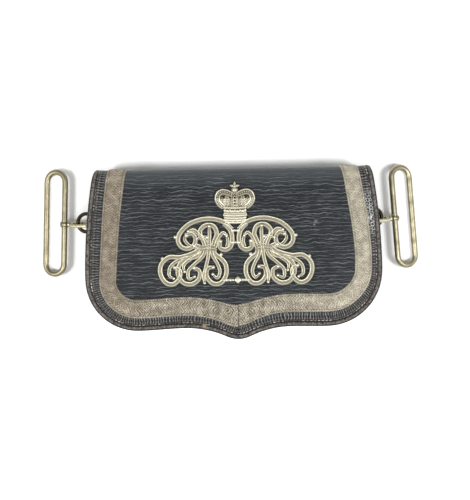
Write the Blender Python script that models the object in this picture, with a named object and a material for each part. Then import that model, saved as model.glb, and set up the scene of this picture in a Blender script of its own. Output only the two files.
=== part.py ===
# A flap pouch for a shoulder belt, lying on its back as it rests on a table.
# X runs across the pouch, Y from the flap's tip towards its fold, Z up from the back.
# The flap, its fold and the back are one sheet of leather. A place on that sheet is given
# flattened out: x across it and q along it. On the flap's flat front, q is the same as y.

import math

import bmesh
import bpy
from mathutils import Matrix, Vector

MM = 0.001
GAP = 0.3 * MM

# The leather sheet that makes flap, fold and back
SHEET_THICKNESS = 2.6 * MM
FRONT_Z = 28.0 * MM
FOLD_Y = 47.4 * MM
FRONT_BEND = 7.0 * MM
BACK_BEND = 6.0 * MM
BACK_LENGTH = 77.4 * MM
BACK_HALF_WIDTH = 75.5 * MM
BACK_CORNER = 12.0 * MM
SIDE_DROOP = 1.6 * MM
TIP_DROOP = 1.4 * MM
BEND_STEPS = 5

# The flap's outline: bowed sides, round lower corners, a shallow wave and a blunt tip
FLAP_HALF_WIDTH = 84.7 * MM
SIDE_BOW = 330.0 * MM
# Left (-1) and right (1), which wear has made a little unlike
CORNER = {-1: 29.9 * MM, 1: 32.0 * MM}
LOBE_Y = {-1: -44.6 * MM, 1: -43.8 * MM}
WAIST_Y = -43.5 * MM
WAIST_FROM_TIP = 30.0 * MM
TIP_X = 2.2 * MM
TIP_Y = -50.4 * MM
TIP_ROUND = 15.0 * MM

# Lengths along the flattened sheet at which the bends begin and end
Q_BEND = FOLD_Y - FRONT_BEND
Q_TOP = Q_BEND + FRONT_BEND * math.pi / 2
Q_BACK_BEND = Q_TOP + FRONT_Z - FRONT_BEND - BACK_BEND
Q_BACK = Q_BACK_BEND + BACK_BEND * math.pi / 2
Q_END = Q_BACK + BACK_LENGTH

# Woven metal lace along the flap's edge
LACE_MARGIN = 7.5 * MM
LACE_WIDTH = 9.6 * MM
LACE_THICKNESS = 0.8 * MM
LACE_END_Q = Q_BACK_BEND + BACK_BEND * math.radians(35)

# The pocket under the flap
POCKET_HALF_WIDTH = 73.5 * MM
POCKET_TOP_Y = 35.0 * MM
POCKET_BOTTOM_Y = -35.0 * MM
POCKET_CORNER = 12.0 * MM
POCKET_FRONT_TOP = 23.5 * MM
POCKET_FRONT_THICKNESS = 2.0 * MM
GUSSET_THICKNESS = 1.8 * MM

# Side hardware: staple, swivel eye and belt loop
STAPLE_Y = 18.0 * MM
STAPLE_Z = 9.7 * MM
STAPLE_REACH_X = {-1: 90.0 * MM, 1: 86.5 * MM}
STAPLE_HALF_SPAN = 5.2 * MM
STAPLE_BEND = 4.8 * MM
STAPLE_WIRE = 1.1 * MM
PLATE_SIZE = (1.0 * MM, 15.0 * MM, 7.5 * MM)
LOOP_Y = 17.3 * MM
LOOP_WIRE = 1.7 * MM
LOOP_HALF_LENGTH = {"left": 29.9 * MM, "right": 28.7 * MM}
LOOP_SHIFT = 0.75 * MM  # the loop's middle lies this far up its bar from the boss
LOOP_END = 6.0 * MM
BOSS_RADIUS = 2.1 * MM
BOSS_HALF_LENGTH = 1.8 * MM
BOSS_HOLE = 1.1 * MM
SHANK_RADIUS = 0.85 * MM
HEAD_RADIUS = 1.5 * MM
HEAD_LENGTH = 0.6 * MM
COLLAR_RADIUS = 1.5 * MM
COLLAR_LENGTH = 1.6 * MM
EYE_WIRE = 1.0 * MM
EYE_HALF_WIDTH = 3.2 * MM
EYE_LENGTH = 12.9 * MM
EYE_LEAN = math.radians(-16)
# Each loop: name, its inner bar's x, its turn seen from above and its slope, in degrees
LOOPS = (("left", -98.4 * MM, -2.0, 21.0), ("right", 94.6 * MM, 3.5, 24.0))

# Cast badge: a crown over mirrored scrollwork. Its places are in millimetres, y as on the flap.
BADGE_X = 1.4 * MM
BADGE_Y = -1.0 * MM
STRAND_RADIUS = 1.3
STRAND_HEIGHT = 0.8
# The centre lines of the strands on the right: x, y
SCROLLS = {
    "upper": ((1.6, 13.4), (7.6, 18.0), (16.2, 19.5), (25.2, 17.2), (31.2, 12.0), (32.6, 7.2),
              (30.4, 3.6), (26.6, 2.8), (23.4, 5.0), (22.8, 8.8), (25.0, 11.4), (27.8, 10.2)),
    "volute": ((16.4, 2.6), (12.4, 6.4), (10.2, 11.0), (12.2, 15.4), (16.8, 15.8), (20.0, 12.8),
               (19.2, 9.2), (15.8, 9.4)),
    "centre": ((6.8, 16.4), (3.2, 13.2), (1.9, 8.4), (2.9, 3.6), (6.0, 1.8), (9.0, 3.2), (8.6, 6.6)),
    "outer": ((14.6, 3.6), (19.6, 0.4), (24.8, -1.4), (31.0, -2.2), (37.8, -1.9), (42.4, -5.6),
              (43.2, -11.0), (40.4, -16.0), (35.8, -17.2), (32.2, -14.0), (31.8, -9.6),
              (34.8, -7.8)),
    "middle": ((13.6, 4.4), (16.4, -0.2), (21.4, -2.6), (27.4, -2.8), (32.0, -6.6), (32.9, -11.8),
               (30.0, -16.4), (25.2, -17.3), (21.2, -14.4), (20.8, -10.0), (23.8, -8.2)),
    "inner": ((15.4, 3.4), (13.6, -1.2), (9.4, -2.6), (5.9, -6.6), (5.7, -12.2), (8.6, -16.8),
              (13.2, -17.2), (16.6, -13.4), (16.2, -8.8), (13.0, -8.0)),
    "spray": ((14.8, 3.0), (19.4, 4.4), (23.6, 4.4)),
}
BUDS = ((34.2, 9.4), (41.6, -2.6), (8.4, -0.9))
# The bars that tie the two halves together: y, half length
TIES = ((-15.4, 7.4), (5.9, 2.6), (12.6, 2.6))
CROWN_BASE_Y = 16.8
CROWN_HALF_WIDTH = 6.3
ARCH = ((5.6, 8.0), (8.8, 10.2), (10.8, 13.4), (10.2, 16.8), (7.4, 18.2), (3.8, 17.8), (0.8, 15.8))
LEAVES = ((4.2, 11.4), (7.9, 9.6), (2.4, 9.8))
# x, y, radius
FINIAL = ((0, 18.6, 1.8), (0, 20.8, 1.2), (-1.5, 20.9, 0.95), (1.5, 20.9, 0.95), (0, 22.2, 0.95))

LEATHER = ("black_leather", (0.035, 0.037, 0.042), 0.45, 0.0)
LACE = ("tarnished_lace", (0.36, 0.31, 0.25), 0.55, 0.4)
CAST_METAL = ("cast_white_metal", (0.62, 0.58, 0.46), 0.35, 1.0)
PLATED_WIRE = ("plated_wire", (0.68, 0.64, 0.52), 0.25, 1.0)


def clear_scene():
    for obj in list(bpy.data.objects):
        bpy.data.objects.remove(obj)


def finish_of(spec):
    name, colour, roughness, metallic = spec
    made = bpy.data.materials.get(name)
    if made is None:
        made = bpy.data.materials.new(name)
        made.use_nodes = True
        shader = made.node_tree.nodes["Principled BSDF"]
        shader.inputs["Base Color"].default_value = (*colour, 1.0)
        shader.inputs["Roughness"].default_value = roughness
        shader.inputs["Metallic"].default_value = metallic
    return made


def object_from(name, mesh):
    made = bpy.data.objects.new(name, mesh)
    bpy.context.scene.collection.objects.link(made)
    return made


def mesh_object(name, points, faces):
    mesh = bpy.data.meshes.new(name)
    mesh.from_pydata([tuple(p) for p in points], [], faces)
    return object_from(name, mesh)


def clean(obj, merge=0.00001):
    # Merges points that share a place and turns every face outwards.
    work = bmesh.new()
    work.from_mesh(obj.data)
    bmesh.ops.remove_doubles(work, verts=work.verts, dist=merge)
    bmesh.ops.recalc_face_normals(work, faces=work.faces)
    work.to_mesh(obj.data)
    work.free()
    return obj


def dress(obj, spec, smooth=True):
    obj.data.materials.clear()
    obj.data.materials.append(finish_of(spec))
    if smooth:
        obj.data.shade_smooth()
        obj.data.set_sharp_from_angle(angle=math.radians(35))
    return obj


def fuse(name, pieces):
    # Joins overlapping closed pieces into one solid.
    first, others = pieces[0], pieces[1:]
    for other in others:
        union = first.modifiers.new("join", "BOOLEAN")
        union.operation = "UNION"
        union.use_self = True
        union.object = other
    graph = bpy.context.evaluated_depsgraph_get()
    mesh = bpy.data.meshes.new_from_object(first.evaluated_get(graph))
    for piece in pieces:
        bpy.data.objects.remove(piece)
    mesh.name = name
    return clean(object_from(name, mesh), 0.000005)


def cut(obj, cutter):
    hole = obj.modifiers.new("hole", "BOOLEAN")
    hole.operation = "DIFFERENCE"
    hole.object = cutter
    graph = bpy.context.evaluated_depsgraph_get()
    mesh = bpy.data.meshes.new_from_object(obj.evaluated_get(graph))
    name = obj.name
    for piece in (obj, cutter):
        bpy.data.objects.remove(piece)
    return clean(object_from(name, mesh), 0.000005)


def tube(name, points, radius, sides=8, cyclic=False, ends=None):
    # A round wire along the points. ends gives the wire's share of its radius at either end.
    data = bpy.data.curves.new(name, "CURVE")
    data.dimensions = "3D"
    data.bevel_depth = radius
    data.bevel_resolution = (sides - 4) // 2
    data.use_fill_caps = not cyclic
    spline = data.splines.new("POLY")
    spline.points.add(len(points) - 1)
    last = len(points) - 1
    for i, point in enumerate(points):
        spline.points[i].co = (*point, 1.0)
        if ends:
            spline.points[i].radius = 1 + (ends[i > last / 2] - 1) * abs(2 * i / last - 1) ** 3
    spline.use_cyclic_u = cyclic
    curve = bpy.data.objects.new(name, data)
    bpy.context.scene.collection.objects.link(curve)
    bpy.context.view_layer.update()
    mesh = bpy.data.meshes.new_from_object(curve.evaluated_get(bpy.context.evaluated_depsgraph_get()))
    bpy.data.objects.remove(curve)
    return clean(object_from(name, mesh))


def ball(name, place, radius, squash=1.0, segments=10, rings=6):
    work = bmesh.new()
    shape = Matrix.Translation(place) @ Matrix.Diagonal((1, 1, squash, 1))
    bmesh.ops.create_uvsphere(work, u_segments=segments, v_segments=rings, radius=radius, matrix=shape)
    mesh = bpy.data.meshes.new(name)
    work.to_mesh(mesh)
    work.free()
    return object_from(name, mesh)


def rod(name, start, end, radius, sides=16, end_radius=None):
    # A straight round bar between two points, with a cone's taper if end_radius is given.
    line = Vector(end) - Vector(start)
    turn = line.to_track_quat("Z", "Y").to_matrix().to_4x4()
    place = Matrix.Translation((Vector(start) + Vector(end)) / 2) @ turn
    work = bmesh.new()
    bmesh.ops.create_cone(
        work,
        cap_ends=True,
        segments=sides,
        radius1=radius,
        radius2=radius if end_radius is None else end_radius,
        depth=line.length,
        matrix=place,
    )
    mesh = bpy.data.meshes.new(name)
    work.to_mesh(mesh)
    work.free()
    return object_from(name, mesh)


def block(name, low, high):
    work = bmesh.new()
    bmesh.ops.create_cube(work, size=1.0)
    for vert in work.verts:
        share = [c + 0.5 for c in vert.co]
        vert.co = [a + (b - a) * t for a, b, t in zip(low, high, share)]
    mesh = bpy.data.meshes.new(name)
    work.to_mesh(mesh)
    work.free()
    return object_from(name, mesh)


# The leather sheet's form

def half_width(q, side):
    # The sheet's half width above the flap's lower corners, over the fold and down the back.
    bowed = FLAP_HALF_WIDTH - (q - LOBE_Y[side] - CORNER[side]) ** 2 / (2 * SIDE_BOW)
    width = max(BACK_HALF_WIDTH, bowed)
    from_end = Q_END - q
    if from_end < BACK_CORNER:
        width += math.sqrt(max(0.0, BACK_CORNER**2 - (BACK_CORNER - from_end) ** 2)) - BACK_CORNER
    return width


def profile(q):
    # The sheet's outer face from the side: y, z and the outward direction.
    if q <= Q_BEND:
        return q, FRONT_Z, 0.0, 1.0
    if q <= Q_TOP:
        turn = (q - Q_BEND) / FRONT_BEND
        across, up = math.sin(turn), math.cos(turn)
        return Q_BEND + FRONT_BEND * across, FRONT_Z - FRONT_BEND * (1 - up), across, up
    if q <= Q_BACK_BEND:
        return FOLD_Y, FRONT_Z - FRONT_BEND - (q - Q_TOP), 1.0, 0.0
    if q <= Q_BACK:
        turn = (q - Q_BACK_BEND) / BACK_BEND
        across, down = math.cos(turn), math.sin(turn)
        return FOLD_Y - BACK_BEND * (1 - across), BACK_BEND * (1 - down), across, -down
    return FOLD_Y - BACK_BEND - (q - Q_BACK), 0.0, 0.0, -1.0


def droop(x, q):
    # The flap hangs a little at its sides and tip, and is level near the fold.
    if q >= Q_BEND:
        return 0.0
    fade = min(1.0, (Q_BEND - q) / (30 * MM))
    side = SIDE_DROOP * fade * (x / FLAP_HALF_WIDTH) ** 4
    return side + TIP_DROOP * max(0.0, q / TIP_Y) ** 3


def on_sheet(x, q, height=0.0):
    y, z, across, up = profile(q)
    return Vector((x, y + height * across, z + height * up - droop(x, q)))


def arc(centre, radius, start, end, steps):
    # Points round a circle from one angle to another in degrees, the first one left out.
    made = []
    for i in range(1, steps + 1):
        turn = math.radians(start + (end - start) * i / steps)
        made.append((centre[0] + radius * math.cos(turn), centre[1] + radius * math.sin(turn)))
    return made


def side_edge(side):
    # One side of the flap, from the fold to halfway round the lower corner, measured outwards.
    corner = CORNER[side]
    low = LOBE_Y[side] + corner
    made = []
    for i in range(6):
        q = Q_BEND + (low - Q_BEND) * i / 5
        made.append((half_width(q, side), q))
    return made + arc((FLAP_HALF_WIDTH - corner, low), corner, 0, -45, 4)


def wave(side):
    # The lower edge from halfway round the corner to the tip, on one side (-1 or 1).
    corner, lobe_y = CORNER[side], LOBE_Y[side]
    corner_x = FLAP_HALF_WIDTH - corner
    made = arc((corner_x, lobe_y + corner), corner, -45, -90, 4)
    tip = TIP_X * side
    waist = tip + WAIST_FROM_TIP
    for i in range(1, 4):
        share = i / 3
        ease = share * share * (3 - 2 * share)
        made.append((corner_x + (waist - corner_x) * share, lobe_y + (WAIST_Y - lobe_y) * ease))
    fall = WAIST_Y - TIP_Y
    hollow = (WAIST_FROM_TIP**2 + fall**2) / (2 * fall) - TIP_ROUND
    meet = math.degrees(math.asin(WAIST_FROM_TIP / (hollow + TIP_ROUND)))
    made += arc((waist, WAIST_Y - hollow), hollow, 90, 90 + meet, 5)
    made += arc((tip, TIP_Y + TIP_ROUND), TIP_ROUND, meet - 90, -90, 2)
    return [(side * x, q) for x, q in made]


def shares(points):
    # How far along a chain of points each one lies, from 0 to 1.
    run = [0.0]
    for a, b in zip(points, points[1:]):
        run.append(run[-1] + math.dist(a, b))
    return [r / run[-1] for r in run]


def sheet_rows():
    # Rows of flattened places: the flap filled between its four edges, then fold and back.
    left, right = ([(side * x, q) for x, q in side_edge(side)] for side in (-1, 1))
    bottom = [left[-1], *wave(-1), *reversed(wave(1)[:-1]), right[-1]]
    across, down_left, down_right = shares(bottom), shares(left), shares(right)
    top_left, top_right = left[0][0], right[0][0]
    rows = []
    for i in range(len(right) - 1, -1, -1):
        v = (down_left[i] + down_right[i]) / 2
        row = []
        for (x, q), u in zip(bottom, across):
            corner_x = top_left * (1 - u) + top_right * u
            corner_low = [left[-1][k] * (1 - u) + right[-1][k] * u for k in (0, 1)]
            edge = [left[i][k] * (1 - u) + right[i][k] * u for k in (0, 1)]
            row.append((
                corner_x * (1 - v) + x * v + edge[0] - corner_x * (1 - v) - corner_low[0] * v,
                Q_BEND * (1 - v) + q * v + edge[1] - Q_BEND * (1 - v) - corner_low[1] * v,
            ))
        rows.append(row)
    bends = [Q_BEND + (Q_TOP - Q_BEND) * i / BEND_STEPS for i in range(1, BEND_STEPS + 1)]
    bends += [Q_BACK_BEND + (Q_BACK - Q_BACK_BEND) * i / BEND_STEPS for i in range(BEND_STEPS + 1)]
    bends += [Q_BACK + (Q_END - BACK_CORNER - Q_BACK) * i / 2 for i in (1, 2)]
    for i in range(1, 5):
        bends.append(Q_END - BACK_CORNER * (1 - math.sin(math.radians(90 * i / 4))))
    for q in bends:
        rows.append([(u * half_width(q, 1) - (1 - u) * half_width(q, -1), q) for u in across])
    return rows


def grid_object(name, rows):
    points = [point for row in rows for point in row]
    count = len(rows[0])
    faces = []
    for r in range(len(rows) - 1):
        for c in range(count - 1):
            corner = r * count + c
            faces.append((corner, corner + 1, corner + count + 1, corner + count))
    return mesh_object(name, points, faces)


def thicken(obj, thickness, outwards):
    wall = obj.modifiers.new("wall", "SOLIDIFY")
    wall.thickness = thickness
    wall.offset = 1.0 if outwards else -1.0
    wall.use_even_offset = True
    return obj


def leather_sheet():
    rows = [[on_sheet(x, q) for x, q in row] for row in sheet_rows()]
    sheet = grid_object("flap_and_back", rows)
    thicken(sheet, SHEET_THICKNESS, outwards=False)
    return dress(sheet, LEATHER)


# Lace round the flap

def lace_path(side):
    # The sheet's edge that one strip follows, from behind the fold to the flap's tip.
    chain = [LACE_END_Q]
    step = (Q_BACK - Q_BACK_BEND) / BEND_STEPS
    chain.append(Q_BACK_BEND + step)
    chain += [Q_BACK_BEND, Q_TOP]
    chain += [Q_BEND + (Q_TOP - Q_BEND) * i / BEND_STEPS for i in range(BEND_STEPS - 1, 0, -1)]
    path = [(side * half_width(q, side), q) for q in chain]
    path += [(side * x, q) for x, q in side_edge(side)]
    return path + wave(side)


def lace_strip(name, side):
    path = lace_path(side)
    rows = []
    for i, (x, q) in enumerate(path):
        before, after = path[max(0, i - 1)], path[min(len(path) - 1, i + 1)]
        along = Vector((after[0] - before[0], after[1] - before[1])).normalized()
        if i == len(path) - 1:
            along = Vector((-side, 0.0))
        inward = Vector((side * along.y, -side * along.x))
        if q > Q_BEND - 1e-6:
            inward = Vector((-side, 0.0))
        row = []
        for inset in (LACE_MARGIN, LACE_MARGIN + LACE_WIDTH):
            reach = inset
            stop = TIP_X + side * GAP / 2
            if side * (x + inward.x * inset - stop) < 0 and abs(inward.x) > 1e-6:
                reach = (stop - x) / inward.x
            px = x + inward.x * reach
            if i == len(path) - 1:
                px = stop
                reach = min(inset, TIP_ROUND)
            row.append(on_sheet(px, q + inward.y * reach, GAP))
        rows.append(row if side > 0 else row[::-1])
    strip = clean(grid_object(name, rows), 0.00002)
    strip.data.update()
    facing = sum((p.normal * p.area for p in strip.data.polygons), Vector())
    if facing.z < 0:
        strip.data.flip_normals()
    thicken(strip, LACE_THICKNESS, outwards=True)
    return dress(strip, LACE)


# The pocket

def pocket_outline(half, bottom, corner, top):
    # A U from the upper left, round the bottom and up to the upper right.
    low = bottom + corner
    made = [(-half, top), (-half, low)]
    made += arc((corner - half, low), corner, 180, 270, 6)
    made.append((half - corner, bottom))
    made += arc((half - corner, low), corner, -90, 0, 6)
    made.append((half, top))
    return made


def gusset():
    low = SHEET_THICKNESS + GAP
    high = POCKET_FRONT_TOP - POCKET_FRONT_THICKNESS - GAP
    path = pocket_outline(POCKET_HALF_WIDTH, POCKET_BOTTOM_Y, POCKET_CORNER, POCKET_TOP_Y)
    rows = [[Vector((x, y, z)) for x, y in path] for z in (low, high)]
    wall = grid_object("pocket_gusset", rows)
    thicken(wall, GUSSET_THICKNESS, outwards=False)
    return dress(wall, LEATHER)


def pocket_front():
    half = POCKET_HALF_WIDTH + 0.5 * MM
    path = pocket_outline(half, POCKET_BOTTOM_Y - 0.5 * MM, POCKET_CORNER, POCKET_TOP_Y + 1 * MM)
    panel = mesh_object(
        "pocket_front",
        [(x, y, POCKET_FRONT_TOP) for x, y in path],
        [tuple(range(len(path)))],
    )
    thicken(panel, POCKET_FRONT_THICKNESS, outwards=False)
    return dress(panel, LEATHER)


# Side hardware

def staple(name, side):
    # A wire bow soldered into a plate on the gusset.
    plate_x = POCKET_HALF_WIDTH + GAP
    tip_x = STAPLE_REACH_X[side]
    reach = tip_x - STAPLE_BEND
    span = STAPLE_HALF_SPAN - STAPLE_BEND
    path = [(plate_x + PLATE_SIZE[0] / 2, -STAPLE_HALF_SPAN), (reach, -STAPLE_HALF_SPAN)]
    path += arc((reach, -span), STAPLE_BEND, -90, 0, 6)
    path.append((tip_x, span))
    path += arc((reach, span), STAPLE_BEND, 0, 90, 6)
    path.append((plate_x + PLATE_SIZE[0] / 2, STAPLE_HALF_SPAN))
    points = [(side * x, STAPLE_Y + y, STAPLE_Z) for x, y in path]
    bow = tube(name + "_bow", points, STAPLE_WIRE, 8)
    half = PLATE_SIZE[2] / 2
    outline = arc((PLATE_SIZE[1] / 2 - half, 0), half, -90, 90, 8)
    outline += arc((half - PLATE_SIZE[1] / 2, 0), half, 90, 270, 8)
    inner = [(side * plate_x, STAPLE_Y + y, STAPLE_Z + z) for y, z in outline]
    outer = [(side * (plate_x + PLATE_SIZE[0]), STAPLE_Y + y, STAPLE_Z + z) for y, z in outline]
    count = len(outline)
    faces = [tuple(range(count)), tuple(range(2 * count - 1, count - 1, -1))]
    faces += [(i, (i + 1) % count, count + (i + 1) % count, count + i) for i in range(count)]
    plate = clean(mesh_object(name + "_plate", inner + outer, faces))
    return dress(fuse(name, [plate, bow]), PLATED_WIRE)


def loop_frame(side, bar_x, turn, slope):
    # Where the loop's inner bar is, the way out along its swivel, along the bar, and up.
    slope = math.radians(slope)
    height = LOOP_WIRE + 2 * LOOP_END * math.sin(slope)
    centre = Vector((bar_x, LOOP_Y, height))
    yaw = Matrix.Rotation(math.radians(turn), 3, "Z")
    out = yaw @ Vector((side * math.cos(slope), 0, -math.sin(slope)))
    along = yaw @ Vector((0, 1, 0))
    return centre, out, along, out.cross(along) * side


def stadium(half_straight, radius, steps):
    # A closed slot-shaped path, its long side along the second axis.
    made = arc((0, half_straight), radius, 0, 180, steps)
    return made + arc((0, -half_straight), radius, 180, 360, steps)


def belt_loop(name, frame, half_length):
    centre, out, along, _ = frame
    middle = centre + out * LOOP_END + along * LOOP_SHIFT
    path = stadium(half_length - LOOP_END, LOOP_END, 10)
    points = [middle + out * a + along * b for a, b in path]
    wire = tube(name + "_wire", points, LOOP_WIRE, 12, cyclic=True)
    boss = rod(
        name + "_boss", centre - out * BOSS_HALF_LENGTH, centre + out * BOSS_HALF_LENGTH, BOSS_RADIUS
    )
    whole = fuse(name, [wire, boss])
    reach = BOSS_HALF_LENGTH + 1 * MM
    drill = rod(name + "_drill", centre - out * reach, centre + out * reach, BOSS_HOLE, 20)
    return dress(cut(whole, drill), PLATED_WIRE)


def swivel(name, frame):
    # A long eye on a collared shank, riveted over inside the loop.
    centre, out, along, up = frame
    collar_end = BOSS_HALF_LENGTH + GAP + COLLAR_LENGTH
    eye_near = collar_end + EYE_WIRE * 0.6
    eye_far = eye_near + EYE_LENGTH
    lean = along * math.sin(EYE_LEAN) + up * math.cos(EYE_LEAN)
    middle = centre - out * ((eye_near + eye_far) / 2)
    path = stadium(EYE_LENGTH / 2 - EYE_HALF_WIDTH, EYE_HALF_WIDTH, 8)
    points = [middle + lean * a + out * b for a, b in path]
    eye = tube(name + "_eye", points, EYE_WIRE, 8, cyclic=True)
    start = BOSS_HALF_LENGTH + GAP
    collar = rod(name + "_collar", centre - out * start, centre - out * collar_end, COLLAR_RADIUS)
    head_end = start + HEAD_LENGTH
    shank = rod(
        name + "_shank", centre - out * eye_near, centre + out * (head_end - 0.2 * MM), SHANK_RADIUS
    )
    head = rod(
        name + "_head",
        centre + out * start,
        centre + out * head_end,
        HEAD_RADIUS,
        end_radius=HEAD_RADIUS * 0.6,
    )
    return dress(fuse(name, [eye, collar, shank, head]), PLATED_WIRE)


# The badge

def eased(points, steps):
    # A smooth curve through a few points.
    made = []
    for i in range(len(points) - 1):
        a, b = points[max(0, i - 1)], points[i]
        c, d = points[i + 1], points[min(len(points) - 1, i + 2)]
        for step in range(steps):
            t = step / steps
            made.append(tuple(
                0.5 * (2 * b[k] + (c[k] - a[k]) * t + (2 * a[k] - 5 * b[k] + 4 * c[k] - d[k]) * t**2
                       + (3 * b[k] - a[k] - 3 * c[k] + d[k]) * t**3)
                for k in (0, 1)
            ))
    return made + [points[-1]]


def on_badge(x, y, height):
    return Vector((BADGE_X + x * MM, BADGE_Y + y * MM, FRONT_Z + GAP + height * MM))


def flatten_from_leather(obj):
    # Squashes the round strands towards the leather, and flattens their undersides.
    floor = FRONT_Z + GAP
    for vert in obj.data.vertices:
        vert.co.z = floor + max(0.0, vert.co.z - floor) * STRAND_HEIGHT
    return obj


def scroll_pieces():
    # The scrolls and buds of the right half.
    pieces = []
    for name, stations in SCROLLS.items():
        line = eased(stations, 2)
        points = [on_badge(x, y, STRAND_RADIUS) for x, y in line]
        pieces.append(tube(name, points, STRAND_RADIUS * MM, 6, ends=(0.8, 0.8)))
        pieces.append(ball(name + "_end", on_badge(*line[-1], 1.5), 1.7 * MM, segments=8))
    for x, y in BUDS:
        pieces.append(ball("bud", on_badge(x, y, 1.1), 1.4 * MM, segments=8))
    return pieces


def mirrored(obj):
    # The other half of the badge, as its own piece.
    mesh = obj.data.copy()
    for vert in mesh.vertices:
        vert.co.x = 2 * BADGE_X - vert.co.x
    mesh.flip_normals()
    return object_from(obj.name + "_mirrored", mesh)


def tie_pieces():
    pieces = []
    for y, half in TIES:
        ends = [on_badge(-half, y, 1.1), on_badge(half, y, 1.1)]
        pieces.append(rod("tie", *ends, 0.8 * MM, 8))
    pieces.append(ball("lozenge", on_badge(0, TIES[0][0], 1.4), 2.1 * MM, segments=4, rings=4))
    return pieces


def crown_pieces():
    base = CROWN_BASE_Y
    half = CROWN_HALF_WIDTH
    low, high = on_badge(-half, base + 0.6, 0.0), on_badge(half, base + 8.3, 1.9)
    pieces = [block("band", low, high)]
    for rise, reach in ((0.9, half + 0.4), (3.7, half + 0.2), (6.0, half + 0.2), (8.0, half + 0.6)):
        ends = [on_badge(-reach, base + rise, 1.2), on_badge(reach, base + rise, 1.2)]
        pieces.append(rod("rim", *ends, 1.1 * MM, 8))
    for side in (1, -1):
        line = [on_badge(side * x, base + y, 1.3) for x, y in eased(ARCH, 2)]
        pieces.append(tube("arch", line, 1.1 * MM, 6, ends=(1.0, 0.9)))
        for x, y in LEAVES:
            pieces.append(ball("leaf", on_badge(side * x, base + y, 1.1), 1.7 * MM, segments=8))
    stem = [on_badge(0, base + 7.5, 1.3), on_badge(0, base + 18.5, 1.3)]
    pieces.append(rod("stem", *stem, 1.5 * MM, 8, 0.9 * MM))
    for x, y, radius in FINIAL:
        pieces.append(ball("finial", on_badge(x, base + y, 1.4), radius * MM, segments=8))
    return pieces


def badge():
    half = fuse("scrolls", scroll_pieces())
    whole = fuse("badge", [half, mirrored(half)] + tie_pieces() + crown_pieces())
    return dress(flatten_from_leather(whole), CAST_METAL)


def build():
    clear_scene()
    leather_sheet()
    gusset()
    pocket_front()
    for side, word in ((-1, "left"), (1, "right")):
        lace_strip(f"lace_{word}", side)
        staple(f"staple_{word}", side)
    for word, bar_x, turn, slope in LOOPS:
        frame = loop_frame(-1 if bar_x < 0 else 1, bar_x, turn, slope)
        swivel(f"swivel_{word}", frame)
        belt_loop(f"belt_loop_{word}", frame, LOOP_HALF_LENGTH[word])
    badge()


build()
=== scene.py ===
import math
import random

import bpy
import numpy as np
from mathutils import Matrix, Vector


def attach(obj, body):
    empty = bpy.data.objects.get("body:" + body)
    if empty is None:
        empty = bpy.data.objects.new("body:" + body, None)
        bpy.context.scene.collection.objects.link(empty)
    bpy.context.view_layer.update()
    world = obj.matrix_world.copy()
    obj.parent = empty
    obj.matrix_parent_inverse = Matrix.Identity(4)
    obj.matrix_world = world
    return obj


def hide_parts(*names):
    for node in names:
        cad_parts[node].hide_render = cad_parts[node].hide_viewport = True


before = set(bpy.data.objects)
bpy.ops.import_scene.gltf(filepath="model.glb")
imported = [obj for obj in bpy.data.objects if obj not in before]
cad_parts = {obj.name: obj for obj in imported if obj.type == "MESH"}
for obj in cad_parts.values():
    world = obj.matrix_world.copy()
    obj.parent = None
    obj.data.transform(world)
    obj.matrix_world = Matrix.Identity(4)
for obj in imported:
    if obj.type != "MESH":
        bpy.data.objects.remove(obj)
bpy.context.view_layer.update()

bpy.ops.object.select_all(action="DESELECT")
mm = 0.001

# small helpers


def hexColour(code):
    # From sRGB hex to the linear values that Blender's sockets take.
    made = []
    for i in (0, 2, 4):
        value = int(code[i:i + 2], 16) / 255
        made.append(value / 12.92 if value <= 0.04045 else ((value + 0.055) / 1.055) ** 2.4)
    return (*made, 1.0)


def addNode(material, kind, links=None, values=None, **settings):
    # A shader node with its settings, its inputs' values and the sockets linked to them.
    node = material.node_tree.nodes.new(kind)
    for key, value in settings.items():
        setattr(node, key, value)
    for key, value in (values or {}).items():
        node.inputs[key].default_value = value
    for key, source in (links or {}).items():
        material.node_tree.links.new(source, node.inputs[key])
    return node


def startMaterial(name):
    # A new material and its shader.
    material = bpy.data.materials.new(name)
    material.use_nodes = True
    return material, material.node_tree.nodes["Principled BSDF"]


def setStops(ramp, stops):
    # Sets a colour ramp's stops: place on the ramp and colour.
    elements = ramp.color_ramp.elements
    while len(elements) < len(stops):
        elements.new(0.5)
    for element, (place, colour) in zip(elements, stops):
        element.position = place
        element.color = colour
    return ramp


def deselectAll():
    bpy.ops.object.select_all(action="DESELECT")


def chooseOnly(obj):
    # Makes one object the selected and active one.
    deselectAll()
    obj.select_set(True)
    bpy.context.view_layer.objects.active = obj


def nearest(share, count):
    # The nearest whole steps for shares of the whole way.
    return np.rint(share * count).astype(int)


def addPrimitive(operator, **settings):
    # One of Blender's own shapes, with its place, turn and scale in its mesh.
    deselectAll()
    operator(**settings)
    bpy.ops.object.transform_apply(location=True, rotation=True, scale=True)
    return bpy.context.object


def gridPiece(name, columns, rows, place):
    # A flat grid whose points are then set by place(u, v), with u and v from 0 to 1.
    deselectAll()
    bpy.ops.mesh.primitive_grid_add(x_subdivisions=columns, y_subdivisions=rows, size=2)
    obj = bpy.context.object
    obj.name = obj.data.name = name
    mesh = obj.data
    flat = np.empty(len(mesh.vertices) * 3)
    mesh.vertices.foreach_get("co", flat)
    flat = flat.reshape(-1, 3)
    points, uv, layers = place((flat[:, 0] + 1) / 2, (flat[:, 1] + 1) / 2)
    mesh.vertices.foreach_set("co", np.ascontiguousarray(points, float).ravel())
    corners = np.empty(len(mesh.loops), int)
    mesh.loops.foreach_get("vertex_index", corners)
    mesh.uv_layers[0].data.foreach_set("uv", np.ascontiguousarray(uv[corners], float).ravel())
    for key, values in layers.items():
        layer = mesh.attributes.new(key, "FLOAT", "POINT")
        layer.data.foreach_set("value", np.ascontiguousarray(values, float))
    mesh.update()
    return obj


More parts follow.
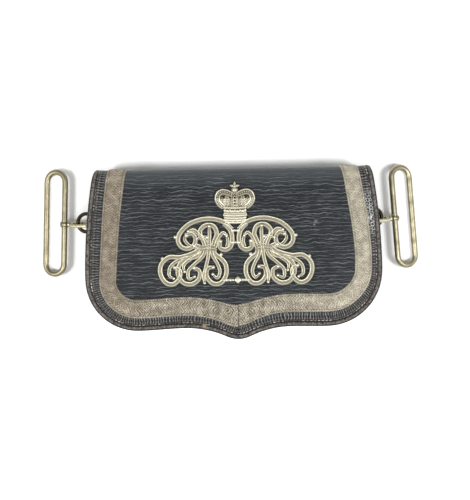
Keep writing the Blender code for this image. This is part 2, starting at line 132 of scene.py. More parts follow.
def joinPieces(name, pieces, merge):
    # One object from several, with points closer than merge made one, unless it is 0.
    deselectAll()
    for piece in pieces:
        piece.select_set(True)
    bpy.context.view_layer.objects.active = pieces[0]
    if len(pieces) > 1:
        bpy.ops.object.join()
    obj = bpy.context.object
    obj.name = obj.data.name = name
    if merge:
        bpy.ops.object.mode_set(mode="EDIT")
        bpy.ops.mesh.select_all(action="SELECT")
        bpy.ops.mesh.remove_doubles(threshold=merge)
        bpy.ops.mesh.normals_make_consistent(inside=False)
        bpy.ops.object.mode_set(mode="OBJECT")
    return obj


def closeEnds(obj):
    # Fills the open ends, and turns all faces out.
    chooseOnly(obj)
    bpy.ops.object.mode_set(mode="EDIT")
    bpy.ops.mesh.select_all(action="DESELECT")
    bpy.ops.mesh.select_mode(type="EDGE")
    bpy.ops.mesh.select_non_manifold(extend=False, use_boundary=True, use_wire=False,
                                     use_multi_face=False, use_non_contiguous=False, use_verts=False)
    bpy.ops.mesh.edge_face_add()
    bpy.ops.mesh.select_all(action="SELECT")
    bpy.ops.mesh.normals_make_consistent(inside=False)
    bpy.ops.mesh.select_mode(type="VERT")
    bpy.ops.object.mode_set(mode="OBJECT")
    return obj


def smooth(obj, angle):
    chooseOnly(obj)
    bpy.ops.object.shade_smooth_by_angle(angle=math.radians(angle))


def applyModifier(obj, kind, **settings):
    # Adds a modifier and makes its result the mesh.
    chooseOnly(obj)
    modifier = obj.modifiers.new(kind.lower(), kind)
    for key, value in settings.items():
        setattr(modifier, key, value)
    bpy.ops.object.modifier_apply(modifier=modifier.name)


def finishPiece(obj, material, body, slot, *nodes):
    # The piece's material, the body it rides with, its slot (not used) and the nodes that it stands for.
    chooseOnly(obj)
    bpy.ops.object.transform_apply(location=True, rotation=True, scale=True)
    obj.data.materials.clear()
    obj.data.materials.append(material)
    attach(obj, body)
    if nodes:
        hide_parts(*nodes)


def copyPlaced(source, matrices, name):
    # One joined piece from copies of a small one, one copy for each matrix.
    copies = []
    for matrix in matrices:
        mesh = source.data.copy()
        mesh.transform(matrix)
        copy = bpy.data.objects.new(name, mesh)
        bpy.context.collection.objects.link(copy)
        copies.append(copy)
    bpy.data.objects.remove(source)
    return joinPieces(name, copies, merge=0)


# the leather's form, flattened out: x across it and q along it, from the flap's tip to the back

form = {
    "thickness": 2.6 * mm,
    "frontZ": 28.0 * mm,
    "foldY": 47.4 * mm,
    "frontBend": 7.0 * mm,
    "backBend": 6.0 * mm,
    "backLength": 77.4 * mm,
    "backHalfWidth": 75.5 * mm,
    "backCorner": 12.0 * mm,
    "sideDroop": 1.6 * mm,
    "tipDroop": 1.4 * mm,
    "flapHalfWidth": 84.7 * mm,
    "sideBow": 330.0 * mm,
    "corner": {-1: 29.9 * mm, 1: 32.0 * mm},  # left and right, which wear has made a little unlike
    "lobeY": {-1: -44.6 * mm, 1: -43.8 * mm},
    "waistY": -43.5 * mm,
    "waistFromTip": 30.0 * mm,
    "tipX": 2.2 * mm,
    "tipY": -50.4 * mm,
    "tipRound": 15.0 * mm,
    "unevenness": 0.16 * mm,
}
qBend = form["foldY"] - form["frontBend"]
qTop = qBend + form["frontBend"] * math.pi / 2
qBackBend = qTop + form["frontZ"] - form["frontBend"] - form["backBend"]
qBack = qBackBend + form["backBend"] * math.pi / 2
qEnd = qBack + form["backLength"]


def halfWidth(q, side):
    # The sheet's half width, from the lower corner's top to the back edge.
    low = form["lobeY"][side] + form["corner"][side]
    bowed = form["flapHalfWidth"] - (q - low) ** 2 / (2 * form["sideBow"])
    return np.maximum(form["backHalfWidth"], bowed)


def onSheet(x, q, height=0.0):
    # Places on the outer face, raised by height, for arrays of x and q.
    x, q = np.broadcast_arrays(np.asarray(x, float), np.asarray(q, float))
    bendA, bendB = form["frontBend"], form["backBend"]
    a = np.clip((q - qBend) / bendA, 0, math.pi / 2)
    b = np.clip((q - qBackBend) / bendB, 0, math.pi / 2)
    y = np.minimum(q, qBend) + bendA * np.sin(a) - bendB * (1 - np.cos(b)) - np.maximum(q - qBack, 0)
    down = np.clip(q - qTop, 0, qBackBend - qTop)
    z = form["frontZ"] - bendA * (1 - np.cos(a)) - down - bendB * np.sin(b)
    outY, outZ = np.sin(a) * np.cos(b), np.cos(a) - np.sin(b)
    flap = np.clip((qBend - q) / (30 * mm), 0, 1)
    sag = form["sideDroop"] * flap * (x / form["flapHalfWidth"]) ** 4
    sag = sag + form["tipDroop"] * np.clip(q / form["tipY"], 0, None) ** 3
    wave = np.sin(x / 0.021 + 1.3) * np.cos(q / 0.016 + 0.4) + 0.6 * np.sin(x / 0.0093 - q / 0.012)
    height = height + form["unevenness"] * flap * wave
    return np.stack([x, y + height * outY, z + height * outZ - sag], axis=-1)


def arc(centre, radius, start, end, steps):
    # Points round a centre, in degrees, without the first.
    made = []
    for i in range(1, steps + 1):
        turn = math.radians(start + (end - start) * i / steps)
        made.append((centre[0] + radius * math.cos(turn), centre[1] + radius * math.sin(turn)))
    return made


def lowerEdge(side):
    # From halfway round the flap's lower corner to its tip.
    lobe, corner = form["lobeY"][side], form["corner"][side]
    low = lobe + corner
    cornerX = form["flapHalfWidth"] - corner
    made = arc((cornerX, low), corner, -45, -90, 20)
    tip = form["tipX"] * side
    waist = tip + form["waistFromTip"]
    for i in range(1, 21):
        share = i / 20
        ease = share * share * (3 - 2 * share)
        made.append((cornerX + (waist - cornerX) * share, lobe + (form["waistY"] - lobe) * ease))
    fall = form["waistY"] - form["tipY"]
    hollow = (form["waistFromTip"] ** 2 + fall**2) / (2 * fall) - form["tipRound"]
    meet = math.degrees(math.asin(form["waistFromTip"] / (hollow + form["tipRound"])))
    made += arc((waist, form["waistY"] - hollow), hollow, 90, 90 + meet, 24)
    made += arc((tip, form["tipY"] + form["tipRound"]), form["tipRound"], meet - 90, -90, 10)
    return [(side * x, q) for x, q in made]


def sideEdge(side):
    # From halfway round the lower corner, up the side, over the fold and halfway round the back's corner.
    corner = form["corner"][side]
    low = form["lobeY"][side] + corner
    made = [(form["flapHalfWidth"] - corner + corner * math.cos(math.radians(-45)),
             low + corner * math.sin(math.radians(-45)))]
    made += arc((form["flapHalfWidth"] - corner, low), corner, -45, 0, 20)
    end = qEnd - form["backCorner"]
    for i in range(1, 161):
        q = low + (end - low) * i / 160
        made.append((float(halfWidth(q, side)), q))
    made += arc((form["backHalfWidth"] - form["backCorner"], end), form["backCorner"], 0, 45, 10)
    return [(side * x, q) for x, q in made]


def backEdge():
    # From halfway round the back's right corner to halfway round its left one.
    inner, end = form["backHalfWidth"] - form["backCorner"], qEnd - form["backCorner"]
    right = [(inner + form["backCorner"] * math.cos(math.radians(45)),
              end + form["backCorner"] * math.sin(math.radians(45)))]
    right += arc((inner, end), form["backCorner"], 45, 90, 10)
    return right + [(-x, q) for x, q in reversed(right)]


def resample(points, count):
    # The same line with evenly spaced points.
    points = np.array(points, float)
    run = np.concatenate([[0], np.cumsum(np.hypot(*np.diff(points, axis=0).T))])
    at = np.linspace(0, run[-1], count)
    return np.stack([np.interp(at, run, points[:, 0]), np.interp(at, run, points[:, 1])], axis=-1)


acrossCount, downCount = 124, 140
bottomLine = resample(lowerEdge(-1) + lowerEdge(1)[::-1][1:], acrossCount + 1)
rightLine = resample(sideEdge(1), downCount + 1)
backLine = resample(backEdge(), acrossCount + 1)
leftLine = resample(sideEdge(-1), downCount + 1)[::-1]
edgeLine = np.concatenate([bottomLine[:-1], rightLine[:-1], backLine[:-1], leftLine[:-1]])
for _ in range(3):  # softens the small corners that sampling leaves
    edgeLine = (np.roll(edgeLine, 1, 0) + 2 * edgeLine + np.roll(edgeLine, -1, 0)) / 4
edgeCount = len(edgeLine)
edgeTangent = np.roll(edgeLine, -1, 0) - np.roll(edgeLine, 1, 0)
edgeTangent /= np.linalg.norm(edgeTangent, axis=1)[:, None]
edgeInward = np.stack([-edgeTangent[:, 1], edgeTangent[:, 0]], axis=-1)
edgeRun = np.concatenate([[0], np.cumsum(np.hypot(*np.diff(edgeLine, axis=0).T))])
edgeLength = edgeRun[-1] + float(np.hypot(*(edgeLine[0] - edgeLine[-1])))

edgeFinish = {
    # how far the rings of points lie from the edge, in millimetres
    "offsets": [0, 0.05, 0.15, 0.32, 0.6, 0.9, 1.15, 1.4, 1.65, 1.9, 2.2, 2.45, 2.7, 2.85, 3.0, 3.2, 3.4,
                3.65, 3.9, 4.2, 4.5, 4.75, 5.0, 5.2, 5.4, 5.6, 5.8, 6.4, 7.4, 8.6, 10.0],
    "farFromEdge": 20 * mm,
    "round": 1.1,
    # a rolled edge, a groove, the stitch channel, a pressed bead and its crease
    "profileAt": [1.1, 1.6, 2.2, 2.7, 3.0, 3.4, 3.9, 4.5, 5.0, 5.4, 5.8, 10.0],
    "profileHeight": [0.30, 0.36, 0.20, -0.12, -0.22, -0.14, 0.02, 0.16, 0.0, -0.14, 0.0, 0.0],
    "stitchFromEdge": 3.4 * mm,
    "stitchSpacing": 2.25 * mm,
}


def edgeHeight(offset, q):
    # The outer face's height near its edge: rounded, rolled, then sunk for the stitches and a crease.
    d = np.asarray(offset) / mm
    onFront = np.clip((qBackBend - q) / (6 * mm), 0, 1)
    half = form["thickness"] / mm / 2
    top = np.interp(d, edgeFinish["profileAt"], edgeFinish["profileHeight"])
    top = np.where(top > 0, top * onFront, top)
    bow = np.sqrt(np.clip(1 - (1 - np.clip(d / edgeFinish["round"], 0, 1)) ** 2, 0, 1))
    return (-half + (half + top) * bow) * mm


def innerHeight(offset):
    # The inner face's height near its edge.
    d = np.asarray(offset) / mm
    half = form["thickness"] / mm / 2
    bow = np.sqrt(np.clip(1 - (1 - np.clip(d / edgeFinish["round"], 0, 1)) ** 2, 0, 1))
    return (-half - half * bow) * mm


def ringPlace(isOuter):
    # The outer 10 mm of the sheet, as a ring that follows its edge.
    def place(u, v):
        index = nearest(u, edgeCount) % edgeCount
        row = nearest(v, len(edgeFinish["offsets"]) - 1)
        offset = np.array(edgeFinish["offsets"])[row] * mm
        flatPlace = edgeLine[index] + edgeInward[index] * offset[:, None]
        x, q = flatPlace[:, 0], flatPlace[:, 1]
        height = edgeHeight(offset, q) if isOuter else innerHeight(offset)
        # along the border, the grain follows the edge
        side = np.where(edgeLine[index][:, 0] > form["tipX"], 1.0, -1.0)
        toTop = np.abs(edgeRun[index] - np.where(side > 0, topRunRight, topRunLeft))
        wrapped = np.where(toTop > edgeLength / 2, edgeLength - toTop, toTop)
        isBorder = edgeLine[index][:, 1] < qTop
        uv = np.stack([
            np.where(isBorder, side * (topHalf - offset), x),
            np.where(isBorder, qTop - wrapped, q),
        ], axis=-1)
        return onSheet(x, q, height), uv, {"edge": offset}
    return place


topHalf = float(halfWidth(qTop, 1))
rightSpan = slice(acrossCount, acrossCount + downCount)
leftSpan = slice(2 * acrossCount + downCount, edgeCount)
topRunRight = float(np.interp(qTop, edgeLine[rightSpan, 1], edgeRun[rightSpan]))
topRunLeft = float(np.interp(qTop, edgeLine[leftSpan, 1][::-1], edgeRun[leftSpan][::-1]))


def innerPlace(isOuter):
    # The rest of the sheet, filled in between the ring's four sides.
    inset = edgeLine + edgeInward * (edgeFinish["offsets"][-1] * mm)
    low = inset[:acrossCount + 1]
    right = inset[acrossCount:acrossCount + downCount + 1]
    high = inset[acrossCount + downCount:2 * acrossCount + downCount + 1][::-1]
    left = np.concatenate([inset[2 * acrossCount + downCount:], inset[:1]])[::-1]

    def place(u, v):
        i = nearest(u, acrossCount)
        j = nearest(v, downCount)
        s, t = (i / acrossCount)[:, None], (j / downCount)[:, None]
        flatPlace = (1 - t) * low[i] + t * high[i] + (1 - s) * left[j] + s * right[j]
        flatPlace -= (1 - s) * (1 - t) * low[0] + s * (1 - t) * low[-1]
        flatPlace -= (1 - s) * t * high[0] + s * t * high[-1]
        x, q = flatPlace[:, 0], flatPlace[:, 1]
        height = 0.0 if isOuter else -form["thickness"]
        return onSheet(x, q, height), flatPlace, {"edge": np.full(len(x), edgeFinish["farFromEdge"])}
    return place


# leather

leatherLook = {
    # the three sets of ridges: spacing, turns and size of their wander, strength
    "creases": ((2.35 * mm, 1.35, 8 * mm, 10 * mm, 1.0), (1.55 * mm, 1.7, 7 * mm, 8 * mm, 0.78),
                (1.05 * mm, 2.0, 6 * mm, 6 * mm, 0.5)),
    "bumpDepth": 0.34 * mm,
    "valley": "04070a",
    "middle": "0a0e12",
    "crest": "4d5254",
    "foldHighlight": "474c4f",
    "wear": "6a615a",
    "fleck": "9a958f",
    "sheen": 0.26,
    "scuff": "928567",
    "crazed": "c9cac6",
    "roughness": 0.42,
    # along the sheet, near the fold: between which places, and the amounts there
    "fold": {
        "grainBefore": (52.0 * mm, 41.5 * mm, 0.15, 1.0),
        "grainBehind": (53.0 * mm, 72.0 * mm, 0.0, 0.6),
        "bloomBefore": (34.0 * mm, 50.5 * mm, 0.0, 0.9),
        "bloomBehind": (55.0 * mm, 72.0 * mm, 1.0, 0.3),
    },
    # the same inwards from the edge
    "border": {
        "all": (8.6 * mm, 6.0 * mm, 0.0, 1.0),
        "pastStitches": (3.6 * mm, 5.0 * mm, 0.3, 1.15),
        "insideStitches": (2.6 * mm, 3.6 * mm, 0.0, 1.0),
    },
    # bands along the edge, in centimetres from it: where its roll is rubbed and has a painted highlight, and
    # where painted shade darkens the very edge and the grooves
    "rolled": ((0.06, 0), (0.12, 1), (0.21, 0.9), (0.27, 0.05), (0.40, 0), (0.45, 0.5), (0.52, 0)),
    "sunk": ((0.05, 1), (0.11, 0), (0.22, 0), (0.27, 0.9), (0.31, 0.3), (0.50, 0), (0.57, 0.75),
             (0.64, 0)),
    "crazedPlace": (0.0815, 0.0205, 0.027),
    # small worn spots: place, radius, shade and strength
    "spots": (
        ((-0.0172, -0.0420, 0.0272), 1.15 * mm, "scuff", 0.75),
        ((0.0470, 0.0158, 0.0280), 0.7 * mm, "fleck", 0.4),
        ((0.0462, 0.0140, 0.0280), 0.5 * mm, "fleck", 0.4),
        ((0.0535, 0.0196, 0.0280), 0.3 * mm, "fleck", 0.3),
    ),
}


def creaseLines(material, place, apart, spacing, wander, length, height, full, offset):
    # Thin ridges lying across the flap, each wandering and fading in and out.
    stretched = addNode(material, "ShaderNodeMapping", {0: place},
                        {"Location": (offset, offset, 0), "Scale": (1 / length, 1 / height, 1.0)})
    drift = addNode(material, "ShaderNodeTexNoise", {"Vector": stretched.outputs[0]},
                    {"Scale": 1.0, "Detail": 3.0, "Roughness": 0.5}, noise_dimensions="2D")
    turns = addNode(material, "ShaderNodeMath", {0: drift.outputs["Fac"]},
                    {1: wander * 2 * math.pi}, operation="MULTIPLY")
    phase = addNode(material, "ShaderNodeMath", {0: apart.outputs[1], 2: turns.outputs[0]},
                    {1: 2 * math.pi / spacing}, operation="MULTIPLY_ADD")
    wave = addNode(material, "ShaderNodeMath", {0: phase.outputs[0]}, operation="SINE")
    ridge = addNode(material, "ShaderNodeMapRange", {0: wave.outputs[0]},
                    {1: 0.35, 2: 1.0, 3: 0.0, 4: 1.0}, interpolation_type="SMOOTHSTEP")
    drawnOut = addNode(material, "ShaderNodeMapping", {0: place},
                       {"Location": (offset, 0, 0), "Scale": (1 / (1.5 * length), 1 / (1.3 * spacing), 1.0)})
    fading = addNode(material, "ShaderNodeTexNoise", {"Vector": drawnOut.outputs[0]},
                     {"Scale": 1.0, "Detail": 2.0}, noise_dimensions="2D")
    strength = addNode(material, "ShaderNodeMapRange", {0: fading.outputs["Fac"]},
                       {1: 0.36, 2: 0.62, 3: 0.45 * full, 4: full})
    return addNode(material, "ShaderNodeMath", {0: ridge.outputs[0], 1: strength.outputs[0]},
                   operation="MULTIPLY")


def leatherMaterial(name, look, hasBorder=True):
    # Straight-grain goatskin, dyed black and waxed: long wavy ridges 1 to 2.4 mm apart, with
    # their crests rubbed grey and shiny, and a painted highlight along them.
    material, shader = startMaterial(name)
    uvMap = addNode(material, "ShaderNodeUVMap", uv_map="UVMap")
    apart = addNode(material, "ShaderNodeSeparateXYZ", {0: uvMap.outputs[0]})
    crests = [creaseLines(material, uvMap.outputs[0], apart, *values, 3.7 * i)
              for i, values in enumerate(look["creases"])]
    ridged = crests[0]
    for crest in crests[1:]:
        ridged = addNode(material, "ShaderNodeMath", {0: ridged.outputs[0], 1: crest.outputs[0]},
                         operation="MAXIMUM")
    # small pebbles between the ridges, 2.6 mm long and 0.9 mm high
    stretched = addNode(material, "ShaderNodeMapping", {0: uvMap.outputs[0]},
                        {"Scale": (1 / (2.6 * mm), 1 / (0.9 * mm), 1.0)})
    pebbles = addNode(material, "ShaderNodeTexNoise", {"Vector": stretched.outputs[0]},
                      {"Scale": 1.0, "Detail": 3.0, "Roughness": 0.6}, noise_dimensions="2D")
    # the crests' rubbing and their painted highlight are stronger in some places than in others
    patches = addNode(material, "ShaderNodeTexNoise", {"Vector": uvMap.outputs[0]},
                      {"Scale": 1 / (11 * mm), "Detail": 4.0, "Roughness": 0.6},
                      noise_dimensions="2D")
    rubAndHighlight = addNode(material, "ShaderNodeMapRange", {0: patches.outputs["Fac"]},
                      {1: 0.30, 2: 0.70, 3: 0.76, 4: 1.0})
    both = addNode(material, "ShaderNodeMath", {0: pebbles.outputs["Fac"], 2: ridged.outputs[0]},
                   {1: 0.30}, operation="MULTIPLY_ADD")
    # pulled smooth over the fold, and greyer there: a painted highlight on the fold's curve
    fold = {key: addNode(material, "ShaderNodeMapRange", {0: apart.outputs[1]},
                         dict(enumerate(values, 1)), interpolation_type="SMOOTHSTEP").outputs[0]
            for key, values in look["fold"].items()}
    amount = addNode(material, "ShaderNodeMath", {0: fold["grainBefore"], 1: fold["grainBehind"]},
                     operation="MAXIMUM")
    height = addNode(material, "ShaderNodeMath", {0: both.outputs[0], 1: amount.outputs[0]},
                     operation="MULTIPLY")
    bump = addNode(material, "ShaderNodeBump", {"Height": height.outputs[0]},
                   {"Strength": 0.85, "Distance": look["bumpDepth"]})
    shown = addNode(material, "ShaderNodeMath", {0: height.outputs[0], 1: rubAndHighlight.outputs[0]},
                    operation="MULTIPLY")
    # the grey of the crests is partly rubbing and partly a painted highlight
    tone = setStops(addNode(material, "ShaderNodeValToRGB", {0: shown.outputs[0]}), [
        (0.10, hexColour(look["valley"])), (0.40, hexColour(look["middle"])),
        (1.0, hexColour(look["crest"]))])
    # the painted highlight over the fold's curve
    foldHighlightAmount = addNode(material, "ShaderNodeMath", {0: fold["bloomBefore"], 1: fold["bloomBehind"]},
                      operation="MULTIPLY")
    layers = [(foldHighlightAmount, "foldHighlight")]
    gloss = addNode(material, "ShaderNodeMapRange", {0: height.outputs[0]},
                    {1: 0.0, 2: 1.0, 3: look["roughness"] + 0.06, 4: look["roughness"] - 0.1})
    if hasBorder:
        place = addNode(material, "ShaderNodeTexCoord")
        edge = addNode(material, "ShaderNodeAttribute", attribute_name="edge")
        border = {key: addNode(material, "ShaderNodeMapRange", {0: edge.outputs["Fac"]},
                               dict(enumerate(values, 1)))
                  for key, values in look["border"].items()}
        inkAmount = addNode(material, "ShaderNodeMath", {0: border["all"].outputs[0]}, {1: 0.8},
                            operation="MULTIPLY")
        # the finish has crazed silver high on the right border, along lines 1.5 mm apart
        crazing = addNode(material, "ShaderNodeTexVoronoi", {"Vector": place.outputs["Object"]},
                          {"Scale": 1 / (1.5 * mm), "Randomness": 1.0}, feature="DISTANCE_TO_EDGE")
        crazed = addNode(material, "ShaderNodeMapRange", {0: crazing.outputs["Distance"]},
                         {1: 0.11, 2: 0.02, 3: 0.0, 4: 1.0})
        toCrazed = addNode(material, "ShaderNodeVectorMath", {0: place.outputs["Object"]},
                           {1: look["crazedPlace"]}, operation="DISTANCE")
        inCrazed = addNode(material, "ShaderNodeMapRange", {0: toCrazed.outputs["Value"]},
                           {1: 15 * mm, 2: 9 * mm, 3: 0.0, 4: 0.9})
        # the rest of the border's skin is cracked finely along its ridge lines, each crack rubbed light and
        # given a painted highlight
        products = []
        for amount, *others in ((border["all"], crests[1], rubAndHighlight, border["pastStitches"]),
                                (inCrazed, border["insideStitches"], border["all"], crazed)):
            for other in others:
                amount = addNode(material, "ShaderNodeMath",
                                 {0: amount.outputs[0], 1: other.outputs[0]}, operation="MULTIPLY")
            products.append(amount)
        # the rolled edge is rubbed brown-grey, unevenly, with a painted highlight along the roll's crest and
        # the bead; painted shade darkens the very edge and the grooves
        fromEdge = addNode(material, "ShaderNodeMath", {0: edge.outputs["Fac"]}, {1: 100.0},
                           operation="MULTIPLY")
        rolled, sunk = [
            setStops(addNode(material, "ShaderNodeValToRGB", {0: fromEdge.outputs[0]}),
                     [(at, (shade, shade, shade, 1)) for at, shade in look[key]])
            for key in ("rolled", "sunk")]
        speckle = addNode(material, "ShaderNodeTexNoise", {"Vector": place.outputs["Object"]},
                          {"Scale": 1 / (1.7 * mm), "Detail": 4.0, "Roughness": 0.7})
        speckled = addNode(material, "ShaderNodeMapRange", {0: speckle.outputs["Fac"]},
                           {1: 0.40, 2: 0.60, 3: 0.05, 4: 0.95})
        rubAndHighlightAmount = addNode(material, "ShaderNodeMath",
                            {0: rolled.outputs[0], 1: speckled.outputs[0]}, operation="MULTIPLY")
        layers += [(inkAmount, "valley"), (products[0], "fleck"), (products[1], "crazed"),
                   (rubAndHighlightAmount, "wear"), (sunk, "valley")]
        for spot, radius, shade, strength in look["spots"]:
            away = addNode(material, "ShaderNodeVectorMath", {0: place.outputs["Object"]}, {1: spot},
                           operation="DISTANCE")
            ragged = addNode(material, "ShaderNodeMath",
                             {0: speckle.outputs["Fac"], 2: away.outputs["Value"]}, {1: 3.4 * mm},
                             operation="MULTIPLY_ADD")
            spotAmount = addNode(material, "ShaderNodeMapRange", {0: ragged.outputs[0]},
                                 {1: radius + 2.2 * mm, 2: radius + 1.2 * mm, 3: 0.0, 4: strength})
            layers.append((spotAmount, shade))
    colour = tone.outputs[0]
    for layer, shade in layers:
        mixed = addNode(material, "ShaderNodeMix", {"Factor": layer.outputs[0], 6: colour},
                        {7: hexColour(look[shade])}, data_type="RGBA")
        colour = mixed.outputs[2]
    material.node_tree.links.new(colour, shader.inputs["Base Color"])
    material.node_tree.links.new(gloss.outputs[0], shader.inputs["Roughness"])
    material.node_tree.links.new(bump.outputs[0], shader.inputs["Normal"])
    shader.inputs["Specular IOR Level"].default_value = look["sheen"]
    return material


flapLeather = leatherMaterial("straight grain goatskin", leatherLook)
pocketLeather = leatherMaterial("pocket goatskin", dict(leatherLook, crest="3c4145"), hasBorder=False)
print("leather: finish made")

ringRows = len(edgeFinish["offsets"]) - 1
sheet = joinPieces("flapAndBackLeather", [
    gridPiece("outerRing", edgeCount, ringRows, ringPlace(True)),
    gridPiece("outerField", acrossCount, downCount, innerPlace(True)),
    gridPiece("innerRing", edgeCount, ringRows, ringPlace(False)),
    gridPiece("innerField", acrossCount, downCount, innerPlace(False)),
], merge=0.012 * mm)
smooth(sheet, 60)
finishPiece(sheet, flapLeather, "pouch", "black_leather", "flap_and_back")
print("leather: flap, fold and back", len(sheet.data.polygons))

# stitches round the leather's edge

stitchLook = {
    "length": 1.6 * mm,
    "width": 0.27 * mm,
    "dip": 0.1 * mm,
    "sunkInFront": 0.04 * mm,
    "sunkBehind": 0.16 * mm,
    "lean": (4, 13),  # degrees
    "clean": "b9b0a8",
    "darkTone": "3a3531",
}


def threadMaterial(name, clean, darkTone):
    # Waxed linen thread, aged unevenly from off-white to grey-brown.
    material, shader = startMaterial(name)
    place = addNode(material, "ShaderNodeTexCoord")
    blotches = addNode(material, "ShaderNodeTexNoise", {"Vector": place.outputs["Object"]},
                       {"Scale": 1 / (7 * mm), "Detail": 4.0, "Roughness": 0.7})
    tone = setStops(addNode(material, "ShaderNodeValToRGB", {0: blotches.outputs["Fac"]}), [
        (0.46, hexColour(darkTone)), (0.66, hexColour(clean))])
    twist = addNode(material, "ShaderNodeTexWave", {"Vector": place.outputs["Object"]},
                    {"Scale": 0.314 / (0.35 * mm)}, bands_direction="DIAGONAL")
    bump = addNode(material, "ShaderNodeBump", {"Height": twist.outputs["Fac"]},
                   {"Strength": 0.5, "Distance": 0.05 * mm})
    material.node_tree.links.new(tone.outputs[0], shader.inputs["Base Color"])
    material.node_tree.links.new(bump.outputs[0], shader.inputs["Normal"])
    shader.inputs["Roughness"].default_value = 0.8
    return material


def edgeStations(offset, spacing):
    # Evenly spaced places along the whole edge: flattened place and direction.
    count = int(edgeLength / spacing)
    closed = np.concatenate([edgeLine, edgeLine[:1]])
    inward = np.concatenate([edgeInward, edgeInward[:1]])
    run = np.concatenate([edgeRun, [edgeLength]])
    at = (np.arange(count) + 0.5) * edgeLength / count
    base = np.stack([np.interp(at, run, closed[:, k]) for k in (0, 1)], axis=-1)
    turn = np.stack([np.interp(at, run, inward[:, k]) for k in (0, 1)], axis=-1)
    turn /= np.linalg.norm(turn, axis=1)[:, None]
    return base + turn * offset, np.stack([turn[:, 1], -turn[:, 0]], axis=-1)


def frameAt(x, q, along, height):
    # A matrix at a place on the sheet: X along the given flattened direction, Z out of it.
    step = 0.2 * mm
    here, ahead = onSheet(x, q, height), onSheet(x + along[0] * step, q + along[1] * step, height)
    above = onSheet(x, q, height + step)
    forward = Vector(ahead - here).normalized()
    out = Vector(above - here).normalized()
    side = out.cross(forward).normalized()
    out = forward.cross(side)
    return Matrix((
        (forward.x, side.x, out.x, here[0]),
        (forward.y, side.y, out.y, here[1]),
        (forward.z, side.z, out.z, here[2]),
        (0, 0, 0, 1),
    ))


randomStitch = random.Random(11)
oneStitch = addPrimitive(bpy.ops.mesh.primitive_uv_sphere_add, segments=8, ring_count=6, radius=1.0,
                         rotation=(0, math.pi / 2, 0))
for vert in oneStitch.data.vertices:
    lengthwise = abs(vert.co.x) ** 0.6 * (1 if vert.co.x > 0 else -1)
    vert.co = (lengthwise * stitchLook["length"] / 2, vert.co.y * stitchLook["width"],
               vert.co.z * stitchLook["width"] - stitchLook["dip"] * abs(vert.co.x) ** 2)
stitchPlaces, stitchWays = edgeStations(edgeFinish["stitchFromEdge"], edgeFinish["stitchSpacing"])
stitchFrames = []
for (x, q), way in zip(stitchPlaces, stitchWays):
    sunk = stitchLook["sunkInFront"] if q < qBackBend else stitchLook["sunkBehind"]
    lean = Matrix.Rotation(math.radians(randomStitch.uniform(*stitchLook["lean"])), 4, "Z")
    stitchFrames.append(frameAt(x, q, way, -sunk) @ lean)
stitches = copyPlaced(oneStitch, stitchFrames, "edgeStitches")
smooth(stitches, 60)
linenThread = threadMaterial("waxed linen thread", stitchLook["clean"], stitchLook["darkTone"])
finishPiece(stitches, linenThread, "pouch", "black_leather")
print("stitches:", len(stitchFrames))

# woven metal lace

laceLook = {
    # in millimetres: how far each strip lies from the edge and how wide it is, by its run from the tip
    "run": (0, 20, 55, 78, 98, 112, 126, 140, 158, 185),
    "margin": {-1: (7.2, 7.2, 7.2, 7.4, 7.8, 8.5, 8.8, 8.6, 8.2, 8.0),
               1: (7.9, 8.2, 8.3, 7.6, 6.2, 5.8, 6.3, 7.0, 7.7, 7.8)},
    "width": {-1: (10.6, 10.7, 10.6, 10.2, 9.8, 9.8, 9.9, 10.2, 10.7, 10.7),
              1: (10.2, 10.4, 10.4, 10.0, 9.8, 9.8, 9.8, 9.8, 9.8, 9.8)},
    "middleWidth": 9.8 * mm,
    "tipWiden": 2.0 * mm,
    "thickness": 0.75 * mm,
    "stations": 714,
    "columns": 32,
    "ribSpacing": 1.7 * mm,
    "picotSpacing": 1.15 * mm,
    "picotDepth": 0.22 * mm,
    "darkLine": 3.75 * mm,
    "light": "d6cfbb",
    "middle": "7d7566",
    "dark": "2f2a22",
    "worn": "7d705d",
    "rose": "6d5a48",
    "selvedge": "aca592",
    # across the pouch: between which places, and the amounts there
    "wear": {
        "browner": (-75 * mm, 50 * mm, 0.12, 0.0),
        "brighter": (20 * mm, 75 * mm, 0.0, 0.30),
        "more even": (-45 * mm, -72 * mm, 0.0, 0.42),
    },
}


def laceEdgePath(side):
    # The leather's edge that a strip follows, from behind the fold to the tip.
    corner = form["corner"][side]
    low = form["lobeY"][side] + corner
    start = qBackBend + form["backBend"] * math.radians(35)
    path = []
    for i in range(161):
        q = start + (low - start) * i / 160
        path.append((side * float(halfWidth(q, side)), q))
    path += [(side * x, q) for x, q in
             arc((form["flapHalfWidth"] - corner, low), corner, 0, -45, 20)]
    return path + lowerEdge(side)


